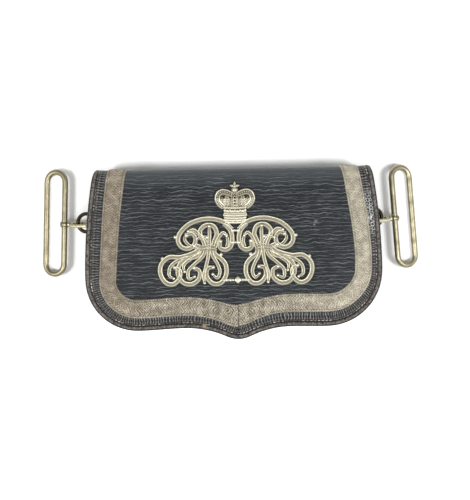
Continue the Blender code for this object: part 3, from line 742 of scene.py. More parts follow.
def lacePlace(side, count):
    # A strip of lace: its outline, its rounded section, its ribs and the loops along its edges.
    path = resample(laceEdgePath(side), count + 1)
    for _ in range(6):
        path[1:-1] = (path[:-2] + 2 * path[1:-1] + path[2:]) / 4
    tangent = np.gradient(path, axis=0)
    tangent /= np.linalg.norm(tangent, axis=1)[:, None]
    inward = np.stack([side * tangent[:, 1], -side * tangent[:, 0]], axis=-1)
    # at the tip the strips' ends stand upright, and over the fold they run level
    fromTip = np.abs(path[:, 0] - form["tipX"])
    onWave = (path[:, 1] < form["waistY"] + 3 * mm) & (fromTip < form["waistFromTip"] + 4 * mm)
    upright = np.where(onWave, np.clip((form["waistFromTip"] + 4 * mm - fromTip) / (6 * mm), 0, 1), 0)
    level = np.clip((path[:, 1] - qBend + 8 * mm) / (8 * mm), 0, 1)
    inward = inward * (1 - upright - level)[:, None]
    inward += upright[:, None] * np.array([0.0, 1.0]) + level[:, None] * np.array([-side, 0.0])
    inward /= np.linalg.norm(inward, axis=1)[:, None]
    widen = laceLook["tipWiden"] * np.exp(-(fromTip / (11 * mm)) ** 2) * upright
    # the border's width changes a little along the edge, and so does the lace's
    step = np.hypot(*np.diff(path, axis=0).T)
    toTip = np.concatenate([np.cumsum(step[::-1])[::-1], [0]]) / mm
    margin = np.interp(toTip, laceLook["run"], laceLook["margin"][side]) * mm
    width = np.interp(toTip, laceLook["run"], laceLook["width"][side]) * mm
    middleLine = path + inward * (margin + width / 2)[:, None]
    run = np.concatenate([[0], np.cumsum(np.hypot(*np.diff(middleLine, axis=0).T))])
    stop = form["tipX"] + side * 0.12 * mm

    def place(u, v):
        # the last column comes back underneath to the first, and closes the strip
        i = nearest(v, count)
        k = nearest(u, laceLook["columns"] + 1)
        across = np.where(k > laceLook["columns"], 0, k / laceLook["columns"])
        s = run[i]
        # picots, little loops of wire, stand out along both edges
        picot = laceLook["picotDepth"] * (np.abs(np.sin(math.pi * s / laceLook["picotSpacing"])) - 0.5)
        nearEdge = np.clip(np.abs(2 * across - 1) * 6 - 5, 0, 1) * np.sign(2 * across - 1)
        reach = margin[i] + across * (width[i] + widen[i]) + picot * nearEdge
        flatPlace = path[i] + inward[i] * reach[:, None]
        x, q = flatPlace[:, 0], flatPlace[:, 1]
        x = np.where(side * (x - stop) < 0, stop, x)
        t = (across - 0.5) * laceLook["middleWidth"]
        crown = np.sqrt(np.clip(1 - np.abs(2 * across - 1) ** 7, 0, 1))
        selvedge = np.exp(-((np.abs(t) - laceLook["darkLine"]) / (0.28 * mm)) ** 2)
        rib = np.sin(2 * math.pi * (s + side * 0.9 * t) / laceLook["ribSpacing"])
        body = np.clip((3.5 * mm - np.abs(t)) / (0.4 * mm), 0, 1)
        fine = np.sin(2 * math.pi * s / laceLook["picotSpacing"]) * (1 - body)
        height = laceLook["thickness"] * crown - 0.16 * mm * selvedge
        warp = np.cos(2 * math.pi * t / (1.2 * mm))
        height += (0.10 * mm * rib * body + 0.035 * mm * warp * body + 0.07 * mm * fine) * crown
        height += 0.05 * mm * np.sin(s / (9 * mm)) * np.sin(s / (4.1 * mm) + 1)
        height = np.where((across == 0) | (across == 1), -0.15 * mm, height)
        return onSheet(x, q, height), np.stack([s, t], axis=-1), {}
    return place


def laceMaterial(name, look):
    # Silver wire woven on a silk core, tarnished brown-grey: slanting ribs, a brighter selvedge.
    material, shader = startMaterial(name)
    uvMap = addNode(material, "ShaderNodeUVMap", uv_map="UVMap")
    apart = addNode(material, "ShaderNodeSeparateXYZ", {0: uvMap.outputs[0]})
    # a zigzag in the ribs, about 4.4 mm from turn to turn, its turns pulled about by wear
    pulled = addNode(material, "ShaderNodeTexNoise", {"Vector": uvMap.outputs[0]},
                     {"Scale": 1 / (7 * mm), "Detail": 2.0})
    turnPlace = addNode(material, "ShaderNodeMath", {0: pulled.outputs["Fac"], 2: apart.outputs[1]},
                        {1: 4.5 * mm}, operation="MULTIPLY_ADD")
    zigzag = addNode(material, "ShaderNodeMath", {0: turnPlace.outputs[0]}, {1: 2.2 * mm},
                     operation="PINGPONG")
    slanted = addNode(material, "ShaderNodeMath", {0: zigzag.outputs[0], 2: apart.outputs[0]},
                      {1: 1.0}, operation="MULTIPLY_ADD")
    ribPlace = addNode(material, "ShaderNodeCombineXYZ",
                       {0: slanted.outputs[0], 1: apart.outputs[1]})
    ribs = addNode(material, "ShaderNodeTexWave", {"Vector": ribPlace.outputs[0]},
                   {"Scale": 0.314 / (1.5 * mm), "Distortion": 2.8, "Detail": 3.0,
                    "Detail Scale": 2.0, "Detail Roughness": 0.6},
                   bands_direction="X")
    # single wires, drawn 0.5 mm apart so that they show
    turned = addNode(material, "ShaderNodeMapping", {0: uvMap.outputs[0]},
                     {"Rotation": (0, 0, math.radians(-38))})
    wires = addNode(material, "ShaderNodeTexWave", {"Vector": turned.outputs[0]},
                    {"Scale": 0.314 / (0.5 * mm), "Distortion": 1.2, "Detail": 2.0},
                    bands_direction="X")
    grain = addNode(material, "ShaderNodeTexNoise", {"Vector": uvMap.outputs[0]},
                    {"Scale": 1 / (0.8 * mm), "Detail": 3.0, "Roughness": 0.7})
    blotches = addNode(material, "ShaderNodeTexNoise", {"Vector": uvMap.outputs[0]},
                       {"Scale": 1 / (6 * mm), "Detail": 5.0, "Roughness": 0.7})
    weave = addNode(material, "ShaderNodeMath", {0: ribs.outputs["Fac"], 2: wires.outputs["Fac"]},
                    {1: 0.75}, operation="MULTIPLY_ADD")
    woven = addNode(material, "ShaderNodeMath", {0: grain.outputs["Fac"], 2: weave.outputs[0]},
                    {1: 1.6}, operation="MULTIPLY_ADD")
    # rubbed bright in some places and dull in others
    rubbed = addNode(material, "ShaderNodeTexNoise", {"Vector": uvMap.outputs[0]},
                     {"Scale": 1 / (3.4 * mm), "Detail": 3.0, "Roughness": 0.6})
    uneven = addNode(material, "ShaderNodeMath", {0: rubbed.outputs["Fac"], 2: woven.outputs[0]},
                     {1: 2.2}, operation="MULTIPLY_ADD")
    toned = addNode(material, "ShaderNodeMapRange", {0: uneven.outputs[0]},
                    {1: 1.75, 2: 3.6, 3: 0.0, 4: 1.0})
    # the weave's relief sets the tone: a painted highlight on its raised wires, painted shade and tarnish in
    # its low parts
    tone = setStops(addNode(material, "ShaderNodeValToRGB", {0: toned.outputs[0]}), [
        (0.06, hexColour(look["dark"])), (0.50, hexColour(look["middle"])),
        (0.96, hexColour(look["light"]))])
    # browner and worn more even towards the left, and rubbed brighter on the right
    place = addNode(material, "ShaderNodeTexCoord")
    placeApart = addNode(material, "ShaderNodeSeparateXYZ", {0: place.outputs["Object"]})
    wear = {key: addNode(material, "ShaderNodeMapRange", {0: placeApart.outputs[0]},
                         dict(enumerate(values, 1)))
            for key, values in look["wear"].items()}
    browned = addNode(material, "ShaderNodeMath",
                      {0: blotches.outputs["Fac"], 1: wear["browner"].outputs[0]}, operation="ADD")
    roseAmount = addNode(material, "ShaderNodeMapRange", {0: browned.outputs[0]},
                         {1: 0.45, 2: 0.75, 3: 0.0, 4: 0.42})
    # the selvedges stay brighter, with a dark line inside them
    sideways = addNode(material, "ShaderNodeMath", {0: apart.outputs[1]}, operation="ABSOLUTE")
    atEdge = addNode(material, "ShaderNodeMapRange", {0: sideways.outputs[0]},
                     {1: 4.2 * mm, 2: 4.5 * mm, 3: 0.0, 4: 0.8})
    loops = addNode(material, "ShaderNodeTexWave", {"Vector": uvMap.outputs[0]},
                    {"Scale": 0.628 / look["picotSpacing"]}, bands_direction="X")
    loopAmount = addNode(material, "ShaderNodeMath", {0: atEdge.outputs[0], 1: loops.outputs["Fac"]},
                         operation="MULTIPLY")
    fromLine = addNode(material, "ShaderNodeMath", {0: sideways.outputs[0]}, {1: look["darkLine"]},
                       operation="SUBTRACT")
    lineDistance = addNode(material, "ShaderNodeMath", {0: fromLine.outputs[0]},
                           operation="ABSOLUTE")
    lineAmount = addNode(material, "ShaderNodeMapRange", {0: lineDistance.outputs[0]},
                         {1: 0.3 * mm, 2: 0.1 * mm, 3: 0.0, 4: 0.45})
    colour = tone.outputs[0]
    for layer, shade in ((wear["brighter"], "light"), (wear["more even"], "worn"), (roseAmount, "rose"),
                         (loopAmount, "selvedge"), (lineAmount, "dark")):
        mixed = addNode(material, "ShaderNodeMix", {"Factor": layer.outputs[0], 6: colour},
                        {7: hexColour(look[shade])}, data_type="RGBA")
        colour = mixed.outputs[2]
    bump = addNode(material, "ShaderNodeBump", {"Height": woven.outputs[0]},
                   {"Strength": 1.0, "Distance": 0.2 * mm})
    material.node_tree.links.new(colour, shader.inputs["Base Color"])
    material.node_tree.links.new(bump.outputs[0], shader.inputs["Normal"])
    shader.inputs["Metallic"].default_value = 0.35
    shader.inputs["Roughness"].default_value = 0.48
    return material


wireLace = laceMaterial("tarnished silver wire lace", laceLook)
for side, word in ((-1, "Left"), (1, "Right")):
    lace = gridPiece("lace" + word, laceLook["columns"] + 1, laceLook["stations"],
                     lacePlace(side, laceLook["stations"]))
    lace = closeEnds(joinPieces("lace" + word, [lace], merge=0.03 * mm))
    smooth(lace, 60)
    finishPiece(lace, wireLace, "pouch", "tarnished_lace", "lace_" + word.lower())
    print("lace:", word, len(lace.data.polygons))

# metal finishes

metalLook = {
    "badgeLight": "c4c0ae", "badgeDark": "6b6450",
    "wireLight": "958e76", "wireClean": "a39d83", "wireDark": "6a624b", "stapleDarkBrown": "2e2618",
    "eyeLight": "cbc4a4", "eyeClean": "d6d0b6", "eyeDark": "948b6c",
}


def castMetalMaterial(name, light, dark):
    # Cast white metal under worn silver plate: bright rubbed tops, brown tarnish in the hollows, and painted
    # shade on the crown's arch tops through the same hollow attribute.
    material, shader = startMaterial(name)
    place = addNode(material, "ShaderNodeTexCoord")
    hollow = addNode(material, "ShaderNodeAttribute", attribute_name="hollow")
    grains = addNode(material, "ShaderNodeTexNoise", {"Vector": place.outputs["Object"]},
                     {"Scale": 1 / (1.6 * mm), "Detail": 4.0, "Roughness": 0.65})
    amount = addNode(material, "ShaderNodeMath", {0: grains.outputs["Fac"], 2: hollow.outputs["Fac"]},
                     {1: 0.55}, operation="MULTIPLY_ADD")
    dirt = addNode(material, "ShaderNodeMapRange", {0: amount.outputs[0]},
                   {1: 0.30, 2: 1.15, 3: 0.0, 4: 1.0})
    tone = addNode(material, "ShaderNodeMix", {"Factor": dirt.outputs[0]},
                   {6: hexColour(light), 7: hexColour(dark)}, data_type="RGBA")
    rough = addNode(material, "ShaderNodeMapRange", {0: dirt.outputs[0]},
                    {1: 0.0, 2: 1.0, 3: 0.36, 4: 0.62})
    pits = addNode(material, "ShaderNodeTexNoise", {"Vector": place.outputs["Object"]},
                   {"Scale": 1 / (0.5 * mm), "Detail": 2.0})
    bump = addNode(material, "ShaderNodeBump", {"Height": pits.outputs["Fac"]},
                   {"Strength": 0.35, "Distance": 0.06 * mm})
    material.node_tree.links.new(tone.outputs[2], shader.inputs["Base Color"])
    material.node_tree.links.new(rough.outputs[0], shader.inputs["Roughness"])
    material.node_tree.links.new(bump.outputs[0], shader.inputs["Normal"])
    shader.inputs["Metallic"].default_value = 0.72
    return material


def wireMaterial(name, light, clean, dark, darkTone):
    # Drawn nickel silver wire: a soft shine, yellowed film in patches, cleaner on the right.
    material, shader = startMaterial(name)
    place = addNode(material, "ShaderNodeTexCoord")
    film = addNode(material, "ShaderNodeTexNoise", {"Vector": place.outputs["Object"]},
                   {"Scale": 1 / (5 * mm), "Detail": 5.0, "Roughness": 0.65})
    amount = addNode(material, "ShaderNodeMapRange", {0: film.outputs["Fac"]},
                     {1: 0.42, 2: 0.72, 3: 0.0, 4: 0.8})
    placeApart = addNode(material, "ShaderNodeSeparateXYZ", {0: place.outputs["Object"]})
    rightward = addNode(material, "ShaderNodeMapRange", {0: placeApart.outputs[0]},
                        {1: -60 * mm, 2: 80 * mm, 3: 0.0, 4: 1.0})
    cleaner = addNode(material, "ShaderNodeMix", {"Factor": rightward.outputs[0]},
                      {6: hexColour(light), 7: hexColour(clean)}, data_type="RGBA")
    filmed = addNode(material, "ShaderNodeMix", {"Factor": amount.outputs[0], 6: cleaner.outputs[2]},
                     {7: hexColour(dark)}, data_type="RGBA")
    # the staples are coloured dark brown
    stapleTone = addNode(material, "ShaderNodeAttribute", attribute_name="stapleTone")
    tone = addNode(material, "ShaderNodeMix", {"Factor": stapleTone.outputs["Fac"], 6: filmed.outputs[2]},
                   {7: hexColour(darkTone)}, data_type="RGBA")
    lengthwise = addNode(material, "ShaderNodeMapping", {0: place.outputs["Object"]},
                         {"Scale": (1.0, 0.06, 1.0)})
    lines = addNode(material, "ShaderNodeTexNoise", {"Vector": lengthwise.outputs[0]},
                    {"Scale": 1 / (0.35 * mm), "Detail": 2.0})
    bump = addNode(material, "ShaderNodeBump", {"Height": lines.outputs["Fac"]},
                   {"Strength": 0.12, "Distance": 0.02 * mm})
    rough = addNode(material, "ShaderNodeMapRange", {0: film.outputs["Fac"]},
                    {1: 0.3, 2: 0.7, 3: 0.38, 4: 0.5})
    material.node_tree.links.new(tone.outputs[2], shader.inputs["Base Color"])
    material.node_tree.links.new(rough.outputs[0], shader.inputs["Roughness"])
    material.node_tree.links.new(bump.outputs[0], shader.inputs["Normal"])
    shader.inputs["Metallic"].default_value = 1.0
    return material


castMetal = castMetalMaterial("cast white metal", metalLook["badgeLight"], metalLook["badgeDark"])
nickelWire = wireMaterial("drawn nickel silver wire", metalLook["wireLight"], metalLook["wireClean"],
                          metalLook["wireDark"], metalLook["stapleDarkBrown"])
# the swivels' eyes, of the same wire, rubbed bright by the staples and lightened further by a painted
# highlight
rubbedHighlightWire = wireMaterial("rubbed nickel silver wire", metalLook["eyeLight"], metalLook["eyeClean"],
                          metalLook["eyeDark"], metalLook["stapleDarkBrown"])
print("metal: finishes made")

# the badge: a crown over mirrored scrollwork, in millimetres on the flap

badgeLook = {
    "centreX": 1.4,
    "centreY": -1.0,
    "base": 27.75,
    "strandWidth": 2.9,
    "strandHeight": 1.7,
    # each scroll: its lift, then its centre line on the right half
    "scrolls": {
        "upper": (0.35, ((1.6, 13.4), (7.6, 18.0), (16.2, 19.5), (25.2, 17.2), (31.2, 12.0),
                         (32.6, 7.2), (30.4, 3.6), (26.6, 2.8), (23.4, 5.0), (22.8, 8.8),
                         (25.0, 11.4), (27.8, 10.2))),
        "volute": (0.1, ((13.4, 2.4), (12.2, 6.4), (10.6, 11.0), (12.4, 15.2), (16.8, 15.8),
                         (20.0, 12.8), (19.2, 9.2), (16.2, 9.0))),
        "centre": (0.5, ((6.8, 16.4), (3.2, 13.2), (1.9, 8.4), (2.9, 3.6), (6.0, 1.8), (9.0, 3.2),
                         (8.6, 6.6))),
        "outer": (0.65, ((19.4, 3.9), (22.6, 1.0), (27.0, -0.9), (32.0, -2.0), (37.8, -1.9),
                         (42.2, -5.6), (42.9, -11.0), (40.2, -16.0), (35.8, -17.2),
                         (32.2, -14.0), (31.8, -9.6), (34.8, -7.8))),
        "middle": (0.2, ((17.9, 3.6), (19.4, 0.2), (23.0, -1.9), (28.0, -2.8), (32.2, -6.6),
                         (32.9, -11.8), (30.0, -16.4), (25.2, -17.3), (21.2, -14.4),
                         (20.8, -10.0), (23.8, -8.2))),
        "inner": (0.4, ((12.4, 3.4), (11.6, -0.6), (8.8, -2.9), (5.9, -6.6), (5.7, -12.2),
                        (8.6, -16.8), (13.2, -17.2), (16.6, -13.4), (16.2, -8.8), (13.0, -8.0))),
        "spray": (0.0, ((18.6, 2.2), (21.0, 3.9), (23.6, 4.4))),
    },
    # the thinner stems tied at the collar: lift, width, centre line
    "reeds": (
        (0.9, 2.3, ((14.9, 2.0), (14.9, 6.0), (14.7, 11.4), (14.9, 15.2))),
        (0.6, 2.2, ((17.2, 2.0), (18.4, 6.6), (20.4, 10.4), (23.6, 13.2), (26.8, 12.6))),
        (0.6, 2.2, ((12.0, 2.0), (10.8, 6.0), (9.0, 9.4), (6.8, 11.4), (5.0, 9.6))),
        (0.9, 2.3, ((15.2, 4.2), (15.6, -1.6), (17.0, -7.6), (18.4, -12.6), (18.0, -16.8))),
        (0.6, 2.2, ((16.6, 4.2), (18.6, -1.6), (23.0, -5.6), (27.0, -9.8), (26.8, -14.4),
                   (23.6, -13.2))),
        (0.6, 2.2, ((13.8, 4.2), (13.2, -1.2), (10.6, -6.0), (9.2, -10.6), (10.8, -14.2),
                   (13.2, -12.0))),
        (0.5, 2.1, ((18.6, 3.8), (21.4, -0.8), (26.0, -3.4), (29.6, -6.6), (29.2, -10.2))),
        (0.5, 2.2, ((25.0, -1.6), (32.6, -3.8), (37.2, -7.4), (37.9, -12.2), (35.4, -14.0))),
        (0.3, 2.0, ((21.4, 2.8), (26.2, 4.6), (28.8, 7.8), (28.0, 11.0))),
        (0.5, 2.0, ((16.0, 2.4), (16.6, 6.0), (18.6, 8.6), (22.0, 8.4))),
        (0.2, 1.9, ((5.4, 2.6), (4.4, 6.6), (5.2, 10.4))),
    ),
    "buds": ((34.2, 9.4), (41.6, -2.6), (8.4, -0.9)),
    "ties": ((-15.4, 7.4), (5.9, 2.6), (12.6, 2.6)),
    "crownBase": 16.8,
    "crownHalfWidth": 6.3,
    "arch": ((6.3, 9.0), (8.6, 10.9), (9.9, 13.6), (9.2, 16.5), (6.9, 17.8), (3.6, 17.1),
             (0.8, 15.4)),
    # leaves inside each arch: root, tip and width
    "panels": (((4.6, 9.2), (4.2, 16.6), 3.4), ((6.5, 9.2), (7.2, 15.0), 2.9),
               ((2.9, 9.2), (2.7, 14.4), 2.2)),
    # the crown's bars: rise, how much longer than its half width, radius and lift
    "rims": ((0.7, -0.6, 0.8, 1.2), (1.9, 0, 0.8, 1.1), (3.2, 0, 0.75, 1.0), (4.6, 0.4, 0.75, 1.6),
             (5.6, 0.1, 0.6, 1.0), (7.0, 0, 0.9, 0.9), (8.9, 0.3, 0.8, 1.3)),
    "rimBow": 0.4,
    "stoneSpacing": 1.45,
    # the cross on the orb: x, rise and radius
    "finial": ((0, 20.8, 1.0), (-1.4, 21.0, 0.9), (1.4, 21.0, 0.9), (-2.3, 21.2, 0.55),
               (2.3, 21.2, 0.55), (0, 22.2, 0.9), (0, 23.0, 0.5)),
}


def easedLine(points):
    # A smooth curve through the points.
    steps = 8
    made = []
    for i in range(len(points) - 1):
        a, b = points[max(0, i - 1)], points[i]
        c, d = points[i + 1], points[min(len(points) - 1, i + 2)]
        for step in range(steps):
            t = step / steps
            made.append(tuple(
                0.5 * (2 * b[k] + (c[k] - a[k]) * t + (2 * a[k] - 5 * b[k] + 4 * c[k] - d[k]) * t**2
                       + (3 * b[k] - a[k] - 3 * c[k] + d[k]) * t**3)
                for k in (0, 1)
            ))
    return made + [points[-1]]


def onBadge(x, y, z):
    # From the badge's own millimetres to places in the shared frame.
    return np.stack([badgeLook["centreX"] + x, badgeLook["centreY"] + y, badgeLook["base"] + z],
                    axis=-1) * mm


def lineFrame(points, count):
    # A curve's evenly spaced points, and the way across it at each.
    line = resample(easedLine(points), count)
    tangent = np.gradient(line, axis=0)
    tangent /= np.linalg.norm(tangent, axis=1)[:, None]
    return line, np.stack([-tangent[:, 1], tangent[:, 0]], axis=-1)


def strandPiece(name, points, lift, width, height, ends=(0.7, 0.8)):
    # A strand with two bright rims and a shallow groove between them, tapering at its ends.
    line, across = lineFrame(points, max(24, len(points) * 7))
    sideways = np.array([-0.5, -0.5, -0.45, -0.37, -0.27, -0.16, 0.0,
                         0.16, 0.27, 0.37, 0.45, 0.5, 0.5, -0.5])
    upwards = np.array([-0.15, 0.45, 0.80, 0.99, 0.97, 0.66, 0.50,
                        0.66, 0.97, 0.99, 0.80, 0.45, -0.15, -0.15])
    hollows = np.array([0.9, 0.35, 0.05, 0.0, 0.0, 0.38, 0.62, 0.38, 0.0, 0.0, 0.05, 0.35, 0.9, 0.9])
    count = len(line) - 1

    def place(u, v):
        i, k = nearest(v, count), nearest(u, len(sideways) - 1)
        share = i / count
        taper = 1 - (1 - ends[0]) * np.clip(1 - share * 8, 0, 1) - (1 - ends[1]) * np.clip(
            share * 5 - 4, 0, 1)
        flatPlace = line[i] + across[i] * (sideways[k] * width * taper)[:, None]
        z = lift * (upwards[k] > 0) + upwards[k] * height * taper
        return (onBadge(flatPlace[:, 0], flatPlace[:, 1], z), np.stack([share, u], axis=-1),
                {"hollow": hollows[k]})
    strand = gridPiece(name, len(sideways) - 1, count, place)
    return closeEnds(joinPieces(name, [strand], merge=0.003 * mm))


def leafPiece(name, points, lift, width, height):
    # A pointed leaf with a sunk rib, slanting veins and a scalloped edge.
    line, across = lineFrame(points, 44)
    sideways = np.concatenate([np.linspace(-0.5, 0.5, 13), [-0.5]])
    count = len(line) - 1

    def place(u, v):
        i, k = nearest(v, count), nearest(u, len(sideways) - 1)
        share, out = i / count, np.abs(2 * sideways[k])
        scallop = np.abs(np.sin(math.pi * share * 6))
        spread = (0.16 + np.sin(math.pi * share ** 0.85) ** 0.8) * (0.84 + 0.22 * scallop)
        spread = np.where(share > 0.97, 0.12, spread)
        flatPlace = line[i] + across[i] * (sideways[k] * width * spread)[:, None]
        vein = np.sin(2 * math.pi * (share * 6 - 0.55 * out))
        z = height * (0.45 + 0.55 * np.sqrt(np.clip(1 - out**2, 0, 1)) - 0.3 * np.exp(-(out / 0.16) ** 2)
                      + 0.13 * vein * np.clip(out * 3, 0, 1))
        z = np.where(out > 0.99, -0.2, lift + z)
        dull = np.clip(0.1 - 0.4 * vein + 0.6 * np.exp(-(out / 0.16) ** 2) + (out > 0.99), 0, 1)
        return (onBadge(flatPlace[:, 0], flatPlace[:, 1], z), np.stack([share, u], axis=-1),
                {"hollow": dull})
    leaf = gridPiece(name, len(sideways) - 1, count, place)
    return closeEnds(joinPieces(name, [leaf], merge=0.003 * mm))


def bead(name, x, y, z, radius, flat=1.0, segments=16):
    # A ball, flattened to a share of its height.
    obj = addPrimitive(bpy.ops.mesh.primitive_uv_sphere_add, segments=segments, radius=radius * mm,
                       ring_count=segments // 2, location=onBadge(x, y, z), scale=(1, 1, flat))
    obj.name = name
    markHollow(obj, z - radius * flat, z + radius * flat)
    return obj


def markHollow(obj, low, high):
    # Tarnish is deepest near the leather.
    layer = obj.data.attributes.new("hollow", "FLOAT", "POINT")
    z = np.array([vert.co.z / mm - badgeLook["base"] for vert in obj.data.vertices])
    layer.data.foreach_set("value", np.clip(1 - (z - low) / (high - low), 0, 1) ** 1.5)


def barPiece(name, halfLength, y, z, radius, bow=0.0):
    # A round bar across the badge, bowed downwards in the middle.
    share = np.arange(17) / 8 - 1
    line = np.stack([halfLength * share, y - bow * (1 - share**2)], axis=-1)

    def place(u, v):
        turn = u * 2 * math.pi
        at = line[nearest(v, 16)]
        points = onBadge(at[:, 0], at[:, 1] + radius * np.cos(turn), z + radius * np.sin(turn))
        return points, np.stack([u, v], axis=-1), {"hollow": np.clip(0.5 - 0.6 * np.sin(turn), 0, 1)}
    bar = joinPieces(name, [gridPiece(name, 16, 16, place)], merge=0.005 * mm)
    return closeEnds(bar)


badgeParts = []
for name, (lift, stations) in badgeLook["scrolls"].items():
    badgeParts.append(strandPiece(name, stations, lift, badgeLook["strandWidth"],
                                  badgeLook["strandHeight"]))
    endX, endY = stations[-1]
    badgeParts.append(bead(name + "End", endX, endY, lift + 1.0, 1.2))
for lift, width, stations in badgeLook["reeds"]:
    badgeParts.append(strandPiece("reed", stations, lift, width, 1.5, ends=(0.7, 0.6)))
    badgeParts.append(bead("reedBud", *stations[-1], lift + 0.9, 0.95))
for x, y in badgeLook["buds"]:
    badgeParts.append(bead("bud", x, y, 0.9, 1.15))
for shift in (-0.9, 0.9):
    badgeParts.append(strandPiece("collar", [(10.8, 2.4 + shift), (15.3, 3.4 + shift),
                                             (20.2, 2.7 + shift)], 0.75, 1.6, 2.0, ends=(0.8, 0.8)))
rightHalf = joinPieces("rightHalf", badgeParts, merge=0)
leftHalf = rightHalf.copy()
leftHalf.data = rightHalf.data.copy()
bpy.context.collection.objects.link(leftHalf)
mirrorX = Matrix.Translation((2 * badgeLook["centreX"] * mm, 0, 0)) @ Matrix.Diagonal((-1, 1, 1, 1))
leftHalf.data.transform(mirrorX)
chooseOnly(leftHalf)
bpy.ops.object.mode_set(mode="EDIT")
bpy.ops.mesh.select_all(action="SELECT")
bpy.ops.mesh.flip_normals()
bpy.ops.object.mode_set(mode="OBJECT")

crownParts = []
base, half = badgeLook["crownBase"], badgeLook["crownHalfWidth"]
bow = badgeLook["rimBow"]
for rise, longer, radius, z in badgeLook["rims"]:
    crownParts.append(barPiece("rim", half + longer, base + rise, z, radius, bow))
for i in range(9):  # stones on the band: lozenges between small beads
    x = (i - 4) * badgeLook["stoneSpacing"]
    level = base - bow * (1 - (x / half) ** 2)
    crownParts.append(bead("stone", x, level + 7.3, 1.5, 0.85 if i % 2 == 0 else 0.5, 0.8, 12))
    crownParts.append(bead("pearl", x, level + 9.0, 1.9, 0.6, 1.0, 10))
    if i % 2:
        crownParts.append(bead("lowStone", x, level + 1.1, 1.7, 0.6, 0.8, 10))
for side in (1, -1):
    archLine = [(side * x, base + y) for x, y in badgeLook["arch"]]
    crownParts.append(strandPiece("arch", archLine, 0.6, 3.5, 1.5, ends=(0.9, 0.75)))
    for x, y in resample(easedLine(archLine), 15)[1:-1]:
        crownParts.append(bead("archPearl", x, y, 1.8, 0.55, 1.0, 10))
    for (rootX, rootY), (tipX, tipY), width in badgeLook["panels"]:
        middleX, middleY = (rootX + tipX) / 2 + 0.2, (rootY + tipY) / 2
        leafLine = [(side * x, base + y) for x, y in ((rootX, rootY), (middleX, middleY), (tipX, tipY))]
        crownParts.append(leafPiece("panel", leafLine, 0.2, width, 1.5))
for x in (-1.35, 1.35):
    stemLine = [(x, base + 9.0), (x * 0.9, base + 13.0), (x * 1.15, base + 18.0)]
    crownParts.append(strandPiece("stem", stemLine, 0.9, 1.5, 1.3, ends=(1.0, 1.0)))
for i in range(5):
    crownParts.append(bead("stemPearl", 0, base + 10.0 + i * 1.7, 1.6, 0.75 - 0.07 * i, 1.0, 10))
crownParts.append(bead("orb", 0, base + 18.7, 1.5, 1.8, 0.9, 24))
crownParts.append(barPiece("orbBand", 1.75, base + 18.8, 2.4, 0.38))
for x, y, radius in badgeLook["finial"]:
    crownParts.append(bead("finial", x, base + y, 1.4, radius, 0.9, 12))
tieParts = []
for y, reach in badgeLook["ties"]:
    tieParts.append(barPiece("tie", reach, y, 1.0, 0.75))
    for x in (-0.75, -0.45, 0.45, 0.75):
        tieParts.append(bead("tieBead", x * reach, y, 1.1, 1.0, 1.0, 12))
lozenge = addPrimitive(bpy.ops.mesh.primitive_cube_add, size=3.4 * mm, rotation=(0, 0, math.pi / 4),
                       location=onBadge(0.9, badgeLook["ties"][0][0], 1.2), scale=(1, 1, 0.75))
applyModifier(lozenge, "BEVEL", width=0.6 * mm, segments=2, limit_method="NONE")
markHollow(lozenge, 0.2, 4.2)
crown = joinPieces("crown", crownParts, merge=0)
shade = crown.data.attributes["hollow"].data
archTop = onBadge(0, badgeLook["crownBase"] + 14, 0)[1]
for vert, entry in zip(crown.data.vertices, shade):  # the tops of the arches are darkened most: painted shade
    isLow = vert.co.y < archTop
    entry.value = min(1, 0.80 * entry.value if isLow else 0.36 + 1.2 * entry.value)
badge = joinPieces("badgeCasting", [rightHalf, leftHalf, lozenge, crown] + tieParts, merge=0)
smooth(badge, 50)
finishPiece(badge, castMetal, "pouch", "cast_white_metal", "badge")
print("badge:", len(badge.data.polygons))

# wire loops, swivels and staples

hardware = {
    "stapleY": 18.0 * mm, "stapleZ": 9.7 * mm,
    "stapleReach": {"left": 90.0 * mm, "right": 86.5 * mm},
    "stapleHalfSpan": 5.2 * mm, "stapleBend": 4.8 * mm, "stapleWire": 1.1 * mm, "stapleSunk": 0.4 * mm,
    "plateX": 73.8 * mm, "plateLength": 15.0 * mm, "plateWidth": 7.5 * mm, "plateThick": 1.0 * mm,
    "rivetFromMiddle": 5.89 * mm,
    "loopY": 17.3 * mm, "loopWire": 1.7 * mm,
    "loopHalfLength": {"left": 29.9 * mm, "right": 28.7 * mm}, "loopShift": 0.75 * mm, "loopEnd": 6.0 * mm,
    "bossRadius": 2.1 * mm, "bossHalfLength": 1.8 * mm, "bossHole": 1.1 * mm,
    "shank": 0.85 * mm, "headRadius": 1.5 * mm, "headLength": 0.6 * mm,
    "collarRadius": 1.5 * mm, "collarLength": 1.6 * mm,
    "eyeWire": 1.0 * mm, "eyeHalfWidth": 3.2 * mm, "eyeLength": 12.9 * mm, "eyeLean": -16.0,
    "gap": 0.3 * mm,
    # each loop: inner bar's x, turn seen from above and slope, in degrees
    "loops": {"left": (-98.4 * mm, -2.0, 21.0), "right": (94.6 * mm, 3.5, 24.0)},
}


def loopFrame(word):
    # A loop's inner bar: its middle, and the ways out from the pouch, along the bar and up.
    barX, turn, slope = hardware["loops"][word]
    slope, side = math.radians(slope), -1 if barX < 0 else 1
    height = hardware["loopWire"] + 2 * hardware["loopEnd"] * math.sin(slope)
    yaw = Matrix.Rotation(math.radians(turn), 3, "Z")
    out = yaw @ Vector((side * math.cos(slope), 0, -math.sin(slope)))
    along = yaw @ Vector((0, 1, 0))
    return Vector((barX, hardware["loopY"], height)), out, along, out.cross(along) * side


